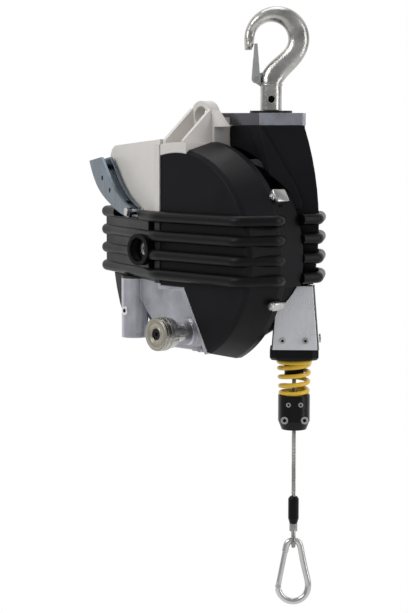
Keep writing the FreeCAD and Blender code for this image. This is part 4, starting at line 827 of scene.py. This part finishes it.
def flat_sheet(name, matrix, material):
    """A large square sheet of the stage."""
    work = bmesh.new()
    bmesh.ops.create_grid(work, x_segments=1, y_segments=1, size=SHEET_HALF, matrix=matrix)
    mesh = bpy.data.meshes.new(name)
    work.to_mesh(mesh)
    work.free()
    sheet = bpy.data.objects.new(name, mesh)
    bpy.context.scene.collection.objects.link(sheet)
    paint(sheet, material)


def build_camera(back):
    """The camera at the photograph's angle."""
    data = bpy.data.cameras.new("camera")
    data.sensor_width = 36.0
    data.lens = VIEW_LENS
    camera = bpy.data.objects.new("camera", data)
    bpy.context.scene.collection.objects.link(camera)
    camera.location = row(*VIEW_PLACE) + back * VIEW_FAR
    gaze = -back * math.cos(VIEW_DROP) + Vector((0, 0, -math.sin(VIEW_DROP)))
    camera.rotation_euler = gaze.to_track_quat("-Z", "Y").to_euler()
    bpy.context.scene.camera = camera


def build_stage(settings):
    """Floor, backdrop, lamps, world and camera."""
    back = Vector((math.sin(VIEW_TURN), -math.cos(VIEW_TURN), 0.0))
    right = Vector((math.cos(VIEW_TURN), math.sin(VIEW_TURN), 0.0))
    middle = row(*MIDDLE)
    upright = Matrix.Rotation(VIEW_TURN, 4, "Z") @ Matrix.Rotation(math.radians(90), 4, "X")
    flat_sheet("floor", Matrix.Translation((0, 0, FLOOR_Z)), backdrop_finish("floor_card", FLOOR_SEEN))
    wall = Matrix.Translation(middle - back * WALL_BACK) @ upright
    flat_sheet("backdrop", wall, backdrop_finish("wall_card", 1.0))
    for name, near, across, up, width, height, share in LAMPS:
        spot = middle + back * near + right * across + Vector((0, 0, up))
        area_lamp(name, spot, middle, width, height, settings.lamp_power * share)
    build_world(settings.sky_strength)
    build_camera(back)
    bpy.context.scene.view_settings.view_transform = "Standard"


# Settings, operators and panel


def colour_setting(name, description, default):
    """A colour that the user may change."""
    return bpy.props.FloatVectorProperty(name=name, description=description, default=default, size=3,
                                         subtype="COLOR", min=0.0, max=1.0)


class BalancerSettings(bpy.types.PropertyGroup):
    """The sizes, colours and lights that a user may change"""

    cover_colour: colour_setting("Cover", "Colour of the black mouldings", (0.0085, 0.0076, 0.009))
    casting_colour: colour_setting("Casting", "Colour of the painted casting", (0.72, 0.69, 0.65))
    spring_colour: colour_setting("Buffer spring", "Colour of the buffer spring", (0.95, 0.62, 0.045))
    rope_strands: bpy.props.IntProperty(
        name="Rope strands", description="Strands round the rope's core", default=4, min=3, max=8)
    spring_wire: bpy.props.FloatProperty(
        name="Spring wire", description="Thickness of the buffer spring's wire", default=0.0052, min=0.002,
        unit="LENGTH")
    lamp_power: bpy.props.FloatProperty(
        name="Key lamp", description="Power of the key lamp", default=17.0, min=0.0, unit="POWER")
    sky_strength: bpy.props.FloatProperty(
        name="Sky", description="Strength of the light from all round", default=0.48, min=0.0)


class BALANCER_OT_finishes(bpy.types.Operator):
    """Build the finishes and put them on the CAD pieces"""

    bl_idname = "balancer.finishes"
    bl_label = "Finishes"

    def execute(self, context):
        build_groups()
        build_metals()
        build_coatings(context.scene.balancer)
        dress_nodes()
        return {"FINISHED"}


class BALANCER_OT_wire_rope(bpy.types.Operator):
    """Lay the stranded wire rope above and below the clamp"""

    bl_idname = "balancer.wire_rope"
    bl_label = "Wire rope"

    def execute(self, context):
        strands = context.scene.balancer.rope_strands
        rope_above_clamp(strands)
        rope_below_clamp(strands)
        return {"FINISHED"}


class BALANCER_OT_screws(bpy.types.Operator):
    """Add the painted shade of the sockets in the clamp's and the guide's screws, and the tube socket's set
    screw with its socket's painted shade
    """

    bl_idname = "balancer.screws"
    bl_label = "Screws"

    def execute(self, context):
        clamp_sockets()
        guide_sockets()
        set_screw()
        return {"FINISHED"}


class BALANCER_OT_joint_feet(bpy.types.Operator):
    """Add the housing's two bright joint feet and their screws"""

    bl_idname = "balancer.joint_feet"
    bl_label = "Joint feet"

    def execute(self, context):
        joint_blocks()
        return {"FINISHED"}


class BALANCER_OT_shank(bpy.types.Operator):
    """Add the collar, and the dark plug of painted shade in the cross hole of the hook's shank"""

    bl_idname = "balancer.shank"
    bl_label = "Hook shank"

    def execute(self, context):
        shank_details()
        return {"FINISHED"}


class BALANCER_OT_turned_parts(bpy.types.Operator):
    """Add the turnings of the locking knob and the collar of the preload screw"""

    bl_idname = "balancer.turned_parts"
    bl_label = "Knob and preload screw"

    def execute(self, context):
        knob_turnings()
        preload_collar()
        return {"FINISHED"}


class BALANCER_OT_buffer_spring(bpy.types.Operator):
    """Wind the buffer spring and set its tube under the guide"""

    bl_idname = "balancer.buffer_spring"
    bl_label = "Buffer spring"

    def execute(self, context):
        buffer_spring(context.scene.balancer)
        return {"FINISHED"}


class BALANCER_OT_stage(bpy.types.Operator):
    """Set up floor, backdrop, lamps and camera"""

    bl_idname = "balancer.stage"
    bl_label = "Stage"

    def execute(self, context):
        build_stage(context.scene.balancer)
        return {"FINISHED"}


OPERATORS = (BALANCER_OT_finishes, BALANCER_OT_wire_rope, BALANCER_OT_screws, BALANCER_OT_joint_feet,
             BALANCER_OT_shank, BALANCER_OT_turned_parts, BALANCER_OT_buffer_spring, BALANCER_OT_stage)


class BALANCER_PT_panel(bpy.types.Panel):
    """Lists the settings and the operators"""

    bl_label = "Balancer"
    bl_space_type = "VIEW_3D"
    bl_region_type = "UI"
    bl_category = "Balancer"

    def draw(self, context):
        for key in BalancerSettings.__annotations__:
            self.layout.prop(context.scene.balancer, key)
        for operator in OPERATORS:
            self.layout.operator(operator.bl_idname)


CLASSES = (BalancerSettings, *OPERATORS, BALANCER_PT_panel)


def register():
    for item in CLASSES:
        bpy.utils.register_class(item)
    bpy.types.Scene.balancer = bpy.props.PointerProperty(type=BalancerSettings)


def unregister():
    del bpy.types.Scene.balancer
    for item in reversed(CLASSES):
        bpy.utils.unregister_class(item)


def main():
    """Builds all looks in order."""
    register()
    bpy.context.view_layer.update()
    bpy.ops.balancer.finishes()
    bpy.ops.balancer.wire_rope()
    bpy.ops.balancer.screws()
    bpy.ops.balancer.joint_feet()
    bpy.ops.balancer.shank()
    bpy.ops.balancer.turned_parts()
    bpy.ops.balancer.buffer_spring()
    bpy.ops.balancer.stage()


if __name__ == "__main__":
    main()
